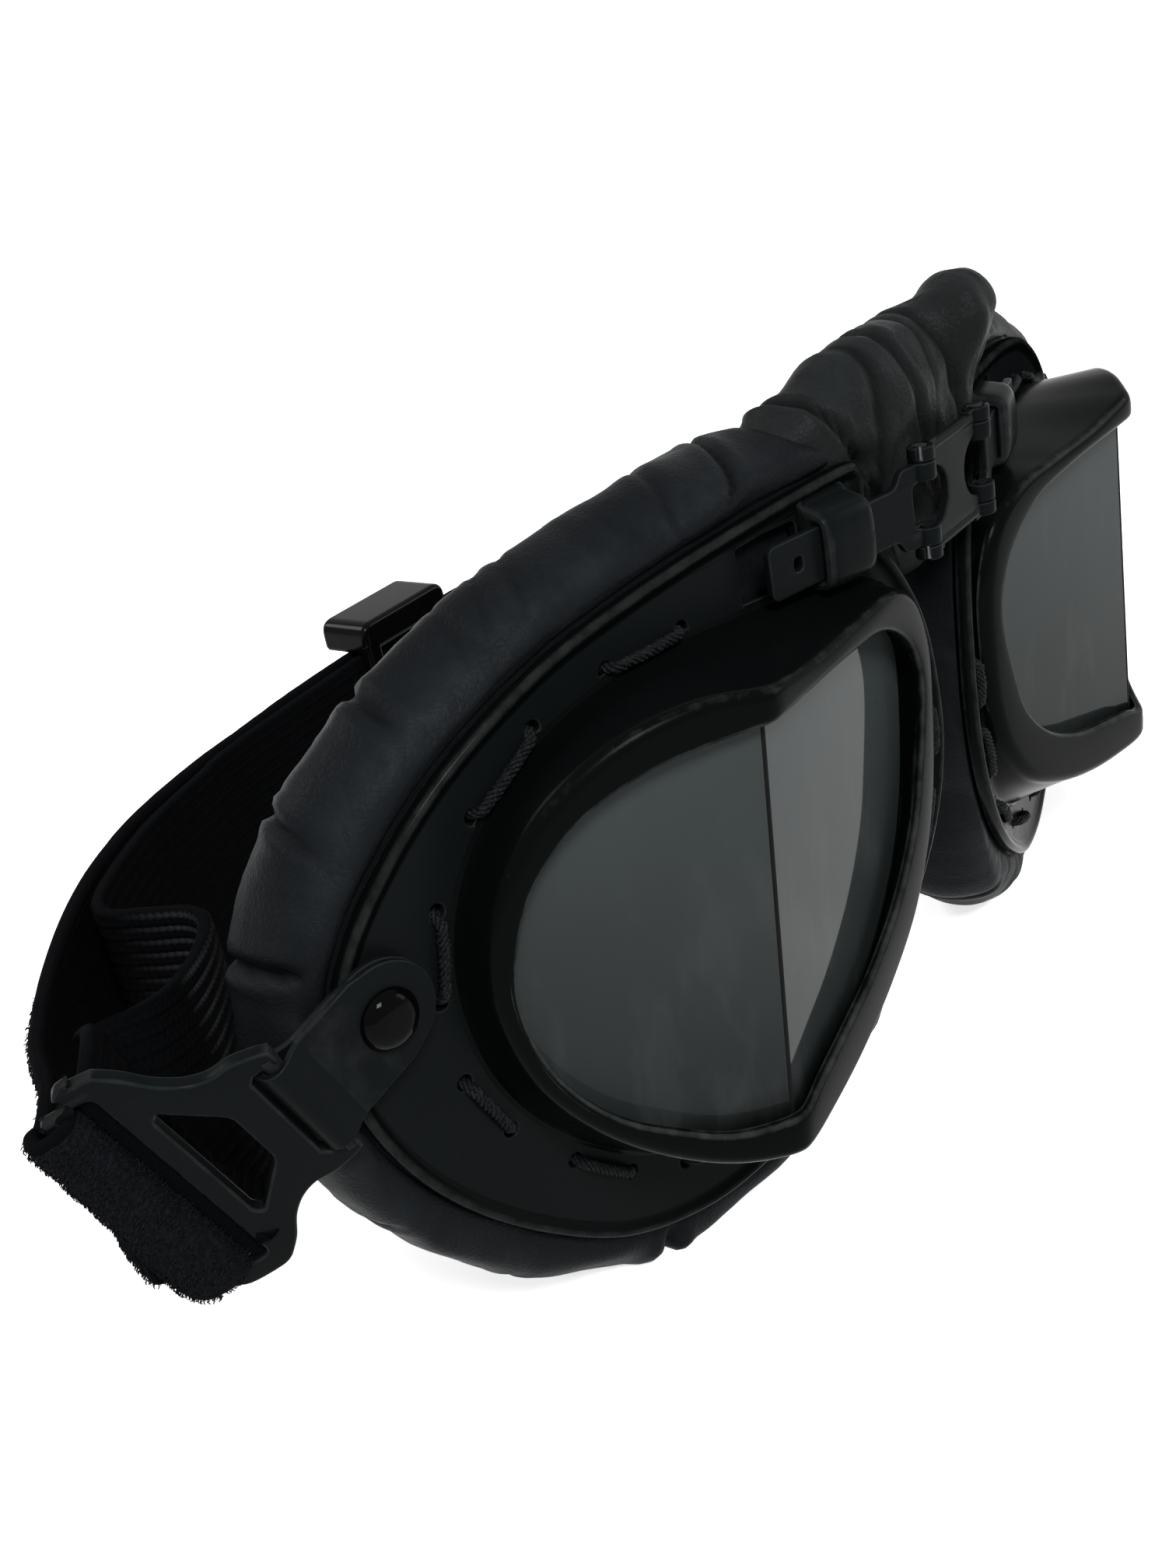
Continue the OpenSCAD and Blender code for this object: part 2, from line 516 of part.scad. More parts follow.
// Buckle: hinge bar, slotted frame with a window, and a strap slot that is open at its top end
slot_w = 2 * strap_t + 0.6;
slot_end = strap_w / 2 + 0.8;
reach = slot_end + 2.4;         // half width of the buckle's wide end
buckle_side = [[0, 8], [2.5, 8.6], [4.8, 8.5], [6.8, 9.3], [8.6, reach - 4.7], [10.2, reach - 2.3],
    [11.8, reach - 0.6]];
module buckle() {
    q0 = slot_q - slot_w / 2;
    q1 = slot_q + slot_w / 2;
    side = run(buckle_side, 3);
    outer = concat(side, [[13.2, reach], [q1, reach - 0.1], [q1 + 1.5, reach - 1.3], [q1 + 1.9, reach - 2.7]],
        [[q1 + 1.9, 0.5 - slot_end], [q1 + 1.4, -slot_end], [q0 + 2, -slot_end],
            [q0 + 2.1, -slot_end - 1.2], [q1 - 0.9, 0.7 - reach], [q1 - 1.6, -reach], [13.2, -reach - 0.2]],
        [for (i = [len(side) - 1 : -1 : 0]) [side[i][0], -side[i][1]]]);
    color([0.045, 0.05, 0.05]) buckle_frame() {
        translate([0, 0, -buckle_t / 2]) linear_extrude(buckle_t) difference() {
            polygon(outer);
            translate([-4, -tab_w / 2 - 0.35]) square([6.3, tab_w + 0.7]);
            polygon([[5.9, 3.4], [5.9, -3.4], [10.4, -8.2], [11, -7.5], [11, 7.5], [10.4, 8.2]]);
            translate([q0, -slot_end]) square([slot_w, 2 * slot_end]);
            translate([q0 + 0.2, -slot_end - 1.2]) square([slot_w - 1.7, 1.4]);
        }
        translate([0, tab_w / 2 + 0.8, 0]) rotate([90, 0, 0]) cylinder(r = bar_r, h = tab_w + 1.6);
    }
}

// Strap as a flat band: rows of [middle, direction of its width]
module band(rows, t) {
    mid = run([for (r = rows) r[0]], 3);
    wide = run([for (r = rows) r[1]], 3);
    n = len(mid);
    bar([for (k = [0 : n - 1]) let (
        tangent = unit(mid[min(k + 1, n - 1)] - mid[max(k - 1, 0)]),
        b = unit(wide[k] - tangent * (wide[k] * tangent)), up = unit(cross(tangent, b)),
        a = b * strap_w / 2, h = up * t / 2)
        [mid[k] - a - h, mid[k] + a - h, mid[k] + a + h, mid[k] - a + h]]);
}
bar_dir = unit(buckle_pt(0, 1, 0) - buckle_pt(0, 0, 0));
down = [0, 0, -1];
function back_y_at(x) = strap_y - back_drop * x * x / (back_half * back_half);
buckle_along = unit(buckle_pt(1, 0, 0) - buckle_pt(0, 0, 0));
buckle_up = unit(buckle_pt(0, 0, 1) - buckle_pt(0, 0, 0));
function tuck(q, n, a = 0, b = 0) = [buckle_pt(q, 0, n), unit(bar_dir + a * buckle_along + b * buckle_up)];
module strap_side(m) {
    over = buckle_t / 2 + strap_t / 2 + 0.3;
    q = slot_q + strap_t / 2 + 0.1;
    color([0.05, 0.05, 0.055]) shift() mirror([m, 0, 0])
        band([tuck(q, -1.2), tuck(q, 0.6), tuck(q + 0.5, over - 0.2), tuck(q + 1.8, over + 0.1),
            tuck(q + 3.6, 1.7, 0.02), tuck(q + 5.1, -0.6, 0.08, 0.03), tuck(q + 5.7, -4.2, 0.25, 0.1),
            [[-96.6, 36.2, -6.2], [0.08, 0, -1]], [[-87.2, 47.2, -6.5], down], [[-75.8, 56.5, -6.5], down],
            [[-63.4, 63.4, strap_z], down],
            [[-back_half - 10.4, back_y_at(back_half + 10.4) + 0.3, strap_z], down],
            [[-back_half - 0.3, back_y_at(back_half + 0.3), strap_z], down]], strap_t);
}
module strap_back() {
    color([0.05, 0.05, 0.055]) shift()
        band([for (k = [-4 : 4]) [[k * back_half / 4, back_y_at(k * back_half / 4), strap_z], down]], strap_t);
}
// Inner layer: from the buckle's slot through a slack fold to the slider, where its end is sewn
module strap_return() {
    color([0.05, 0.05, 0.055]) shift()
        band([tuck(slot_q - strap_t / 2 - 0.2, 0.2), tuck(slot_q - strap_t / 2 - 0.2, -1.4),
            tuck(slot_q - strap_t / 2 - 0.25, -3), tuck(slot_q - 1.3, -5.2),
            [[-92.4, 27, -5], [0.24, -0.1, -0.97]], [[-84, 31.2, -6.5], [0.12, -0.06, -0.99]],
            [[-76.6, 36, strap_z], down], [[-74.3, 40.4, strap_z], down], [[-76.6, 45.8, strap_z], down],
            [[-78, 50.2, strap_z], down], [[-74, 54.6, strap_z], down], [[-62.4, 60.8, strap_z], down],
            [[-back_half - 10.6, 64.6, strap_z], down],
            [[-back_half, back_y_at(back_half) - strap_t - 0.4, strap_z], down],
            [[slider_x, back_y_at(slider_x) - strap_t - 0.4, strap_z], down]], strap_t);
}
// Slider: frame with two end rails, a middle bar behind and two side bars in front of the strap
module strap_slider() {
    h = strap_w + 2 * slider_rail;
    gap = 2 * strap_t + 1.9;
    color([0.01, 0.01, 0.012]) shift()
        translate([slider_x, back_y_at(slider_x) - strap_t / 2 - 0.2, strap_z]) {
            for (s = [-1, 1])
                translate([-slider_len / 2, -gap / 2 - slider_t, s * (h / 2 - slider_rail / 2 + 0.3) - slider_rail / 2])
                cube([slider_len, gap + 2 * slider_t, slider_rail - 0.6]);
            for (s = [-1, 1]) translate([s * (slider_len / 2 - 1.5) - 1.5, -gap / 2 - slider_t, -h / 2 + 1])
                cube([3, slider_t, h - 2]);
            translate([-1.6, gap / 2, -h / 2 + 1]) cube([3.2, slider_t, h - 2]);
        }
}

right_eye() face_plate();  // face_plate_right
right_eye() lens_rim();  // lens_rim_right
right_eye() lens_pane(1);  // front_lens_right
right_eye() lens_pane(-1);  // side_lens_right
right_eye() lens_gasket();  // lens_gasket_right
right_eye() lacing_cord();  // lacing_cord_right
right_eye() eye_pad();  // eye_pad_right
right_eye() pad_foam();  // pad_foam_right
right_eye() bridge_tongue();  // bridge_tongue_right
right_eye() temple_tab();  // temple_tab_right
right_eye() temple_rivet();  // temple_rivet_right
right_eye() buckle();  // buckle_right
strap_side(0);  // strap_side_right
left_eye() face_plate();  // face_plate_left
left_eye() lens_rim();  // lens_rim_left
left_eye() lens_pane(1);  // front_lens_left
left_eye() lens_pane(-1);  // side_lens_left
left_eye() lens_gasket();  // lens_gasket_left
left_eye() lacing_cord();  // lacing_cord_left
left_eye() eye_pad();  // eye_pad_left
left_eye() pad_foam();  // pad_foam_left
left_eye() bridge_tongue();  // bridge_tongue_left
left_eye() temple_tab();  // temple_tab_left
left_eye() temple_rivet();  // temple_rivet_left
left_eye() buckle();  // buckle_left
strap_side(1);  // strap_side_left
bridge_link();
hinge_pins();
nose_pad();
strap_back();
strap_return();
strap_slider();
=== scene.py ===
import math

import bmesh
import bpy
import numpy as np
from mathutils import Matrix, Vector, noise


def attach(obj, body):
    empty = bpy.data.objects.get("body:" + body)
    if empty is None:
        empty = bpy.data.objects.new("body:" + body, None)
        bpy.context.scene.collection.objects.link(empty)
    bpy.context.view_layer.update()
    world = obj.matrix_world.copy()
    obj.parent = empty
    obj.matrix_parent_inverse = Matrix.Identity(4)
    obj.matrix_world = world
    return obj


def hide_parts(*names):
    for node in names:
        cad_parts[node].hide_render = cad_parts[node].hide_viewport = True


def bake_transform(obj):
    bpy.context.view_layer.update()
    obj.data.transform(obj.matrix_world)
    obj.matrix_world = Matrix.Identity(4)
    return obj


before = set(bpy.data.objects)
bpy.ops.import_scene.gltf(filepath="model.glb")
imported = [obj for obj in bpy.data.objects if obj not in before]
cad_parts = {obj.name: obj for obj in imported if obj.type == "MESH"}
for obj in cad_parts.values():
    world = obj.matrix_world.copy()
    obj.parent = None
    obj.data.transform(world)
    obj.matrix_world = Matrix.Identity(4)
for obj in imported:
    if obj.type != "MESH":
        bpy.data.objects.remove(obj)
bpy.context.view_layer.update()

mm = 0.001
sides = {"right": -1, "left": 1}  # the wearer's right is at -X

# where an eyepiece's plane stands in the part, in mm and degrees
placing = {"midY": 29.397, "floorZ": 45.6, "eyeX": 43.3, "wrap": 14.9}
wrapAngle = math.radians(placing["wrap"])
cosWrap, sinWrap = math.cos(wrapAngle), math.sin(wrapAngle)


# curves through points, in mm
def bendPoint(a, b, c, d, t):
    return 0.5 * (2 * b + (c - a) * t + (2 * a - 5 * b + 4 * c - d) * t * t
                  + (3 * b - a - 3 * c + d) * t ** 3)


def closedCurve(points, steps):
    p = np.array(points, float)
    n = len(p)
    return np.array([bendPoint(p[i - 1], p[i], p[(i + 1) % n], p[(i + 2) % n], k / steps)
                     for i in range(n) for k in range(steps)])


def openCurve(points, steps):
    p = np.array(points, float)
    n = len(p)
    rows = [bendPoint(p[max(i - 1, 0)], p[i], p[i + 1], p[min(i + 2, n - 1)], k / steps)
            for i in range(n - 1) for k in range(steps)]
    return np.array(rows + [p[-1]])


def outward(loop):  # outward direction at each point of a clockwise loop
    t = np.roll(loop, -1, axis=0) - np.roll(loop, 1, axis=0)
    t /= np.linalg.norm(t, axis=1)[:, None]
    return np.stack([-t[:, 1], t[:, 0]], axis=1)


def columns(*parts):
    return np.column_stack(parts)


def grown(loop, d):
    return loop + d * outward(loop)


def smoothStep(x):
    x = np.clip(x, 0, 1)
    return x * x * (3 - 2 * x)


def within(x, low, rise, high, fall):  # 0 at low, up to 1, and back to 0 at high
    return smoothStep((x - low) / rise) * smoothStep((high - x) / fall)


def bump(x, middle, width):  # soft hill, 1 at the middle
    return np.exp(-((x - middle) / width) ** 2)


def signedInside(points, loop):  # distance in from a closed outline, negative outside
    best = np.full(len(points), 1e9)
    odd = np.zeros(len(points), bool)
    for a, b in zip(loop, np.roll(loop, -1, axis=0)):
        ab = b - a
        t = np.clip(((points - a) @ ab) / max(ab @ ab, 1e-12), 0, 1)
        best = np.minimum(best, np.linalg.norm(points - (a + t[:, None] * ab), axis=1))
        crosses = (a[1] > points[:, 1]) != (b[1] > points[:, 1])
        if a[1] != b[1]:
            meets = (b[0] - a[0]) * (points[:, 1] - a[1]) / (b[1] - a[1]) + a[0]
            odd ^= crosses & (points[:, 0] < meets)
    return np.where(odd, best, -best)


# from an eyepiece's own plane (u to the nose, v up, w forward) to the part, and back
def toPart(p, side=-1):
    p = np.asarray(p, float).reshape(-1, 3)
    x = -placing["eyeX"] + p[:, 0] * cosWrap - p[:, 2] * sinWrap
    y = -p[:, 0] * sinWrap - p[:, 2] * cosWrap - placing["midY"]
    return np.stack([x if side < 0 else -x, y, p[:, 1] + placing["floorZ"]], axis=1) * mm


def fromPart(p, side=-1):
    p = np.asarray(p, float).reshape(-1, 3) / mm
    x = (p[:, 0] if side < 0 else -p[:, 0]) + placing["eyeX"]
    y = p[:, 1] + placing["midY"]
    return np.stack([x * cosWrap - y * sinWrap, p[:, 2] - placing["floorZ"],
                     -x * sinWrap - y * cosWrap], axis=1)


def middleToPart(p, side=-1):  # from axes whose zero is the middle of the bridge
    p = np.asarray(p, float).reshape(-1, 3)
    x = p[:, 0] if side < 0 else -p[:, 0]
    return np.stack([x, p[:, 1] - placing["midY"], p[:, 2] + placing["floorZ"]], axis=1) * mm


# meshes
def linked(name, data):
    obj = bpy.data.objects.new(name, data)
    bpy.context.scene.collection.objects.link(obj)
    return obj


def makeMesh(name, points, faces, sharp=35, tidy=True, uv=None):
    mesh = bpy.data.meshes.new(name)
    mesh.from_pydata([tuple(p) for p in np.asarray(points, float)], [],
                     [tuple(int(i) for i in f) for f in faces])
    if uv is not None:
        layer = mesh.uv_layers.new(name="run")
        flat = np.asarray(uv, float)[[v for f in faces for v in f]]
        layer.data.foreach_set("uv", flat.astype(np.float32).ravel())
    bm = bmesh.new()
    bm.from_mesh(mesh)
    if tidy:
        bmesh.ops.remove_doubles(bm, verts=bm.verts, dist=1e-7)
    bmesh.ops.recalc_face_normals(bm, faces=bm.faces)
    bm.to_mesh(mesh)
    bm.free()
    mesh.shade_smooth()
    if sharp:
        mesh.set_sharp_from_angle(angle=math.radians(sharp))
    return linked(name, mesh)


def makeParts(name, parts, sharp=35):  # one mesh of several shapes
    points, faces, start = [], [], 0
    for p, f in parts:
        points.append(p)
        faces += [tuple(i + start for i in face) for face in f]
        start += len(p)
    return makeMesh(name, np.concatenate(points), faces, sharp)


def ringFaces(stations, count, closedPath=True, caps=False):
    faces = []
    for k in range(stations if closedPath else stations - 1):
        for i in range(count):
            a, b = k * count + i, k * count + (i + 1) % count
            c = (k + 1) % stations * count
            faces.append((a, b, c + (i + 1) % count, c + i))
    if caps:
        faces.append(tuple(range(count))[::-1])
        faces.append(tuple((stations - 1) * count + i for i in range(count)))
    return faces


def finalMesh(obj):
    return bpy.data.meshes.new_from_object(
        obj.evaluated_get(bpy.context.evaluated_depsgraph_get()))


def bake(obj):  # a plain mesh from whatever modifiers the object has
    done = finalMesh(obj)
    done.name = obj.name
    old = obj.data
    obj.modifiers.clear()
    obj.data = done
    bpy.data.meshes.remove(old)
    return obj


def slab(outlines, thick, roundedBy, steps=2):  # flat sheet with holes and soft edges, about height 0
    curve = bpy.data.curves.new("outline", "CURVE")
    curve.dimensions, curve.fill_mode = "2D", "BOTH"
    curve.extrude, curve.bevel_depth = thick / 2 - roundedBy, roundedBy
    curve.offset, curve.bevel_resolution = -roundedBy, steps
    for outline in outlines:
        spline = curve.splines.new("POLY")
        spline.points.add(len(outline) - 1)
        for point, (x, y) in zip(spline.points, outline):
            point.co = (x, y, 0, 1)
        spline.use_cyclic_u = True
    obj = linked("outline", curve)
    mesh = finalMesh(obj)
    bm = bmesh.new()
    bm.from_mesh(mesh)
    bmesh.ops.remove_doubles(bm, verts=bm.verts, dist=1e-4)
    bm.verts.index_update()
    points = np.array([v.co for v in bm.verts])
    faces = [tuple(v.index for v in f.verts) for f in bm.faces]
    bm.free()
    bpy.data.objects.remove(obj)
    bpy.data.curves.remove(curve)
    bpy.data.meshes.remove(mesh)
    return points, faces


def lathe(profile, turns):  # profile as [radius, height]
    points = [(r * math.cos(a), r * math.sin(a), h)
              for a in np.arange(turns) * 2 * math.pi / turns for r, h in profile]
    faces = []
    n = len(profile)
    for k in range(turns):
        for i in range(n - 1):
            a, b = k * n + i, (k + 1) % turns * n + i
            faces.append((a, a + 1, b + 1, b))
    return np.array(points), faces


def circle(cx, cy, r, count, start=0, end=360):
    full = abs(end - start) >= 360
    angles = np.radians(np.linspace(start, end, count, endpoint=not full))
    return [(cx + r * math.cos(a), cy + r * math.sin(a)) for a in angles]


def boxCorners(x0, y0, x1, y1):
    return [[x0, y0], [x1, y0], [x1, y1], [x0, y1]]


def rounded(corners, r, count=6):  # polygon with rounded corners, one radius or one for each
    p = [np.array(c, float) for c in corners]
    radii = r if hasattr(r, "__len__") else [r] * len(p)
    out = []
    for i, c in enumerate(p):
        a, b = p[i - 1] - c, p[(i + 1) % len(p)] - c
        la, lb = np.linalg.norm(a), np.linalg.norm(b)
        cut = min(radii[i], la * 0.48, lb * 0.48)
        s, e = c + a / la * cut, c + b / lb * cut
        for k in range(count + 1):
            t = k / count
            out.append(tuple((1 - t) ** 2 * s + 2 * t * (1 - t) * c + t * t * e))
    return out


def storeValues(obj, name, values):  # one number for each point, for the finishes
    layer = obj.data.attributes.new(name, "FLOAT", "POINT")
    layer.data.foreach_set("value", np.asarray(values, np.float32).ravel())


def markEdges(obj, full=0.5):  # how far each point is a raised edge, 1 at a bend of full radians
    bm = bmesh.new()
    bm.from_mesh(obj.data)
    raised = np.zeros(len(bm.verts))
    for v in bm.verts:
        bends = [e.calc_face_angle(0) for e in v.link_edges if len(e.link_faces) == 2 and e.is_convex]
        raised[v.index] = min(1, max(bends, default=0) / full)
    bm.free()
    storeValues(obj, "raised", raised)


def finishHard(obj, body, slot, *nodes, finish=None, wear=True):
    if wear:
        markEdges(obj)
    obj.data.materials.clear()
    obj.data.materials.append(finishes[finish or slot])
    weighted = obj.modifiers.new("weighted", "WEIGHTED_NORMAL")
    weighted.keep_sharp, weighted.weight = True, 60
    bake(obj)
    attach(obj, body)
    if nodes:
        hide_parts(*nodes)


# finishes: a colour is red, green and blue, a size of a pattern is in mm
class Wire:  # a socket that can be added, taken away and multiplied, also with a number before it
    def __init__(self, paint, socket):
        self.paint, self.socket = paint, socket

    def __add__(self, other): return self.paint.maths("ADD", self, other)
    def __radd__(self, other): return self.paint.maths("ADD", other, self)
    def __sub__(self, other): return self.paint.maths("SUBTRACT", self, other)
    def __rsub__(self, other): return self.paint.maths("SUBTRACT", other, self)
    def __mul__(self, other): return self.paint.maths("MULTIPLY", self, other)
    def __rmul__(self, other): return self.paint.maths("MULTIPLY", other, self)


def named(sockets):
    return {key.replace("_", " "): value for key, value in sockets.items()}


class Paint:  # one material, or another tree, and the nodes in it
    def __init__(self, name, tree=None):
        if tree is None:
            self.material = bpy.data.materials.new(name)
            self.material.use_nodes = True
            tree = self.material.node_tree
            tree.nodes.clear()
        self.tree = tree

    def add(self, kind, settings=None, sockets=None, out=0):
        node = self.tree.nodes.new(kind)
        for key, value in (settings or {}).items():
            setattr(node, key, value)
        for key, value in (sockets or {}).items():
            if isinstance(value, Wire):
                self.tree.links.new(value.socket, node.inputs[key])
            else:
                node.inputs[key].default_value = value
        self.last = node
        return Wire(self, node.outputs[out]) if len(node.outputs) else None

    def shape(self, kind, settings=None, out=0, **sockets):
        return self.add("GeometryNode" + kind, settings, named(sockets), out)

    def maths(self, operation, *values):
        return self.add("ShaderNodeMath", {"operation": operation}, dict(enumerate(values)))

    def vectors(self, operation, sockets, out=0):
        return self.add("ShaderNodeVectorMath", {"operation": operation}, sockets, out)

    def axes(self, value):
        self.add("ShaderNodeSeparateXYZ", None, {0: value})
        return [Wire(self, socket) for socket in self.last.outputs]

    def place(self):
        return self.add("ShaderNodeTexCoord", out="Object")

    def stored(self, name):
        return self.add("ShaderNodeAttribute", {"attribute_name": name}, out="Fac")

    def stretched(self, where, scale, turn=(0, 0, 0)):
        return self.add("ShaderNodeMapping", None, {"Vector": where, "Scale": scale, "Rotation": turn})

    def cloud(self, where, size, detail, rough=0.5):
        return self.add("ShaderNodeTexNoise", None,
                        {"Vector": where, "Scale": 1000 / size, "Detail": detail, "Roughness": rough})

    def cells(self, where, size, feature="F1"):
        return self.add("ShaderNodeTexVoronoi", {"feature": feature},
                        {"Vector": where, "Scale": 1000 / size}, "Distance")

    def grade(self, value, low, high, start=0.0, end=1.0):
        return self.add("ShaderNodeMapRange", None, {"Value": value, "From Min": low, "From Max": high,
                                                     "To Min": start, "To Max": end})

    def colour(self, amount, a, b):
        full = [c if isinstance(c, Wire) else (*c, 1) for c in (a, b)]
        return self.add("ShaderNodeMix", {"data_type": "RGBA"}, {0: amount, 6: full[0], 7: full[1]}, 2)

    def relief(self, height, depth, strength):
        return self.add("ShaderNodeBump", None,
                        {"Height": height, "Distance": depth * mm, "Strength": strength})

    def surface(self, **sockets):
        return self.add("ShaderNodeBsdfPrincipled", None, named(sockets), "BSDF")

    def finish(self, shade=None, **sockets):  # shade is where the surface has no gloss
        shader = self.surface(**sockets)
        if shade is not None:
            dull = self.surface(Base_Color=sockets["Base_Color"], Roughness=0.6, Specular_IOR_Level=0.0)
            shader = self.add("ShaderNodeMixShader", None, {0: shade, 1: shader, 2: dull})
        self.add("ShaderNodeOutputMaterial", None, {"Surface": shader})
        return self.material


enamelLook = {"low": (0.0032, 0.0041, 0.0043), "high": (0.0046, 0.0057, 0.0059),
              "dust": (0.02, 0.022, 0.022), "wornAndGlint": (0.035, 0.038, 0.038), "specular": 0.014, "depth": 0.02,
              # the far plate's long top has no gloss: from and to, in m, and over the plate's plane in mm
              "shadeUp": (0.062, 0.066), "shadeOut": (0.08, 0.074), "shadeIn": (0.006, 0.009),
              "shadeOver": (3.0, 2.2)}


def enamelPaint(name="satinEnamel", dark=1.0, gloss=0.29, wornAndGlint=0.3):
    s, p = enamelLook, Paint(name)
    where = p.place()
    patch, grain, fine = p.cloud(where, 14, 3), p.cloud(where, 0.42, 2), p.cloud(where, 0.16, 1)
    # raised edges are lightened toward a paler colour: edge wear, and with the rim's larger amount also a
    # painted highlight along the edges
    wear = p.grade(p.stored("raised") * (p.cloud(where, 2.6, 4, 0.65) + 0.3), 0.5, 0.9)
    dust = p.grade(p.cloud(where, 1.1, 5, 0.7), 0.68, 0.8)
    # a shade factor below 1 darkens the whole colour with painted shade, as for the bead and the rim
    base = p.colour(patch, *([c * dark for c in s[end]] for end in ("low", "high")))
    base = p.colour(dust * 0.15, base, s["dust"])
    base = p.colour(wear * wornAndGlint, base, s["wornAndGlint"])
    rough = p.grade(patch, 0.3, 0.7, gloss - 0.05, gloss + 0.07) + dust * 0.12 - wear * 0.06
    x, y, z = p.axes(where)
    over = (x * 1000 - placing["eyeX"]) * sinWrap - (y * 1000 + placing["midY"]) * cosWrap
    shade = (p.grade(z, *s["shadeUp"]) * p.grade(x, *s["shadeOut"]) * p.grade(x, *s["shadeIn"])
             * p.grade(over, *s["shadeOver"]))
    return p.finish(shade, Base_Color=base, Roughness=rough, IOR=1.5, Specular_IOR_Level=s["specular"],
                    Normal=p.relief(grain + fine * 0.5, s["depth"], 0.35))


def plainPaint(name, low, high, rough, size, depth, specular, metallic=0.0):
    p = Paint(name)
    where = p.place()
    patch, fine = p.cloud(where, size, 3), p.cloud(where, size * 0.12, 3)
    return p.finish(Base_Color=p.colour(patch, low, high), Metallic=metallic, Specular_IOR_Level=specular,
                    Roughness=p.grade(patch, 0.3, 0.7, rough * 0.85, rough * 1.15),
                    Normal=p.relief(fine, depth, 0.6))


# the crown colour is a painted sheen and the crease colour is painted shade in creases, nicks and folds
leatherLook = {"pore": (0.003, 0.0034, 0.0038), "rub": (0.017, 0.0185, 0.019),
               "crown": (0.0138, 0.0162, 0.0182), "creaseShade": (0.0014, 0.0015, 0.0017),
               "specular": 0.02, "depth": 0.09, "pebbleSize": 0.8, "poreSize": 0.42, "patchSize": 16,
               "grainSize": 2.2, "rubSize": 5}


def leatherPaint(name, low, high, gloss):
    s, p = leatherLook, Paint(name)
    where = p.place()
    creaseShade, crown = p.stored("creaseShade"), p.stored("crown")
    drift = p.add("ShaderNodeTexNoise", None, {"Vector": where, "Scale": 260.0, "Detail": 2.0}, "Color")
    warp = p.vectors("ADD", {0: where, 1: p.vectors("SCALE", {0: drift, "Scale": 0.0016})})
    pebble, pore = p.cells(warp, s["pebbleSize"], "DISTANCE_TO_EDGE"), p.cells(warp, s["poreSize"])
    patch = p.cloud(where, s["patchSize"], 4)
    grain = p.cloud(p.stretched(where, (1, 1, 0.28)), s["grainSize"], 4, 0.6)
    rub = p.grade(p.cloud(where, s["rubSize"], 5, 0.7), 0.6, 0.8, 0, 0.2)
    base = p.colour(patch, low, high)
    # pores and rubbed patches are the leather's own; creases are darkened with painted shade and the crown of
    # the roll lightened with a painted sheen
    for amount, shade in ((p.grade(pebble, 0.0, 0.09, 0.3, 0.0), "pore"), (rub, "rub"),
                          (crown * p.grade(grain, 0.3, 0.7, 0.2, 0.75), "crown"), (creaseShade * 0.8, "creaseShade")):
        base = p.colour(amount, base, s[shade])
    rough = p.grade(patch, 0.3, 0.7, gloss - 0.06, gloss + 0.06) + rub * 0.1 + creaseShade * 0.2
    height = p.grade(pebble, 0.0, 0.22) * 0.35 + pore * 0.15 + grain * 1.3
    return p.finish(Base_Color=base, Roughness=rough, Specular_IOR_Level=s["specular"],
                    Normal=p.relief(height, s["depth"], 0.8))


# the glass runs from the low colour at the bottom to the high colour at the top as painted shade, and rimShade
# is painted shade just above the rim
lensLook = {"low": (0.009, 0.0108, 0.0106), "high": (0.031, 0.037, 0.0365), "smear": (0.046, 0.052, 0.051),
            "rimShade": (0.002, 0.0025, 0.0025), "speck": (0.2, 0.21, 0.21),
            "alpha": 0.985, "specular": 0.045, "rough": (0.02, 0.06)}


def lensPaint():
    s, p = lensLook, Paint("smokeLens")
    where = p.place()
    veil = p.cloud(where, 26, 2)
    smear = p.cloud(p.stretched(where, (1, 1, 0.35), (0, 0.5, 0)), 7, 4, 0.6)
    speck = p.grade(p.cloud(where, 0.7, 4, 0.7), 0.72, 0.8)
    high = p.axes(where)[2] * 1000
    # painted shade: darker toward the bottom and lighter higher up, darkest just above the rim's lower edge
    base = p.colour(p.grade(high + veil * 22 + smear * 5, 30, 76), s["low"], s["high"])
    base = p.colour(p.grade(smear, 0.52, 0.72, 0.0, 0.3), base, s["smear"])
    base = p.colour(p.grade(high + smear * 4, 25, 29.5), s["rimShade"], base)
    base = p.colour(speck * 0.2, base, s["speck"])
    return p.finish(Base_Color=base, Roughness=p.grade(smear, 0.35, 0.75, *s["rough"]), Alpha=s["alpha"],
                    IOR=1.5, Specular_IOR_Level=s["specular"])


def cordPaint():
    p = Paint("waxedCord")
    fibre = p.cloud(p.place(), 0.22, 4, 0.7)
    base = p.colour(p.grade(fibre, 0.42, 0.72), (0.0016, 0.0018, 0.002), (0.021, 0.022, 0.024))
    return p.finish(Base_Color=base, Roughness=0.52, Specular_IOR_Level=0.04,
                    Normal=p.relief(fibre, 0.09, 0.9))


# lengths along the strap from the buckle in mm: where the loops fade, where the painted highlight on the fold's
# ribs shows
webbingLook = {"low": (0.0007, 0.0008, 0.0009), "high": (0.0042, 0.0045, 0.0052),
               "patch": (0.0016, 0.0017, 0.0019), "ribHighlight": (0.05, 0.053, 0.058),
               "loopLow": (0.0012, 0.0013, 0.0016), "loopHigh": (0.012, 0.013, 0.0155), "loopEnd": (17, 33),
               "weave": 0.9, "yarn": 0.8, "rib": 23.9 / 15, "foldIn": (19, 23), "foldOut": (36, 44)}


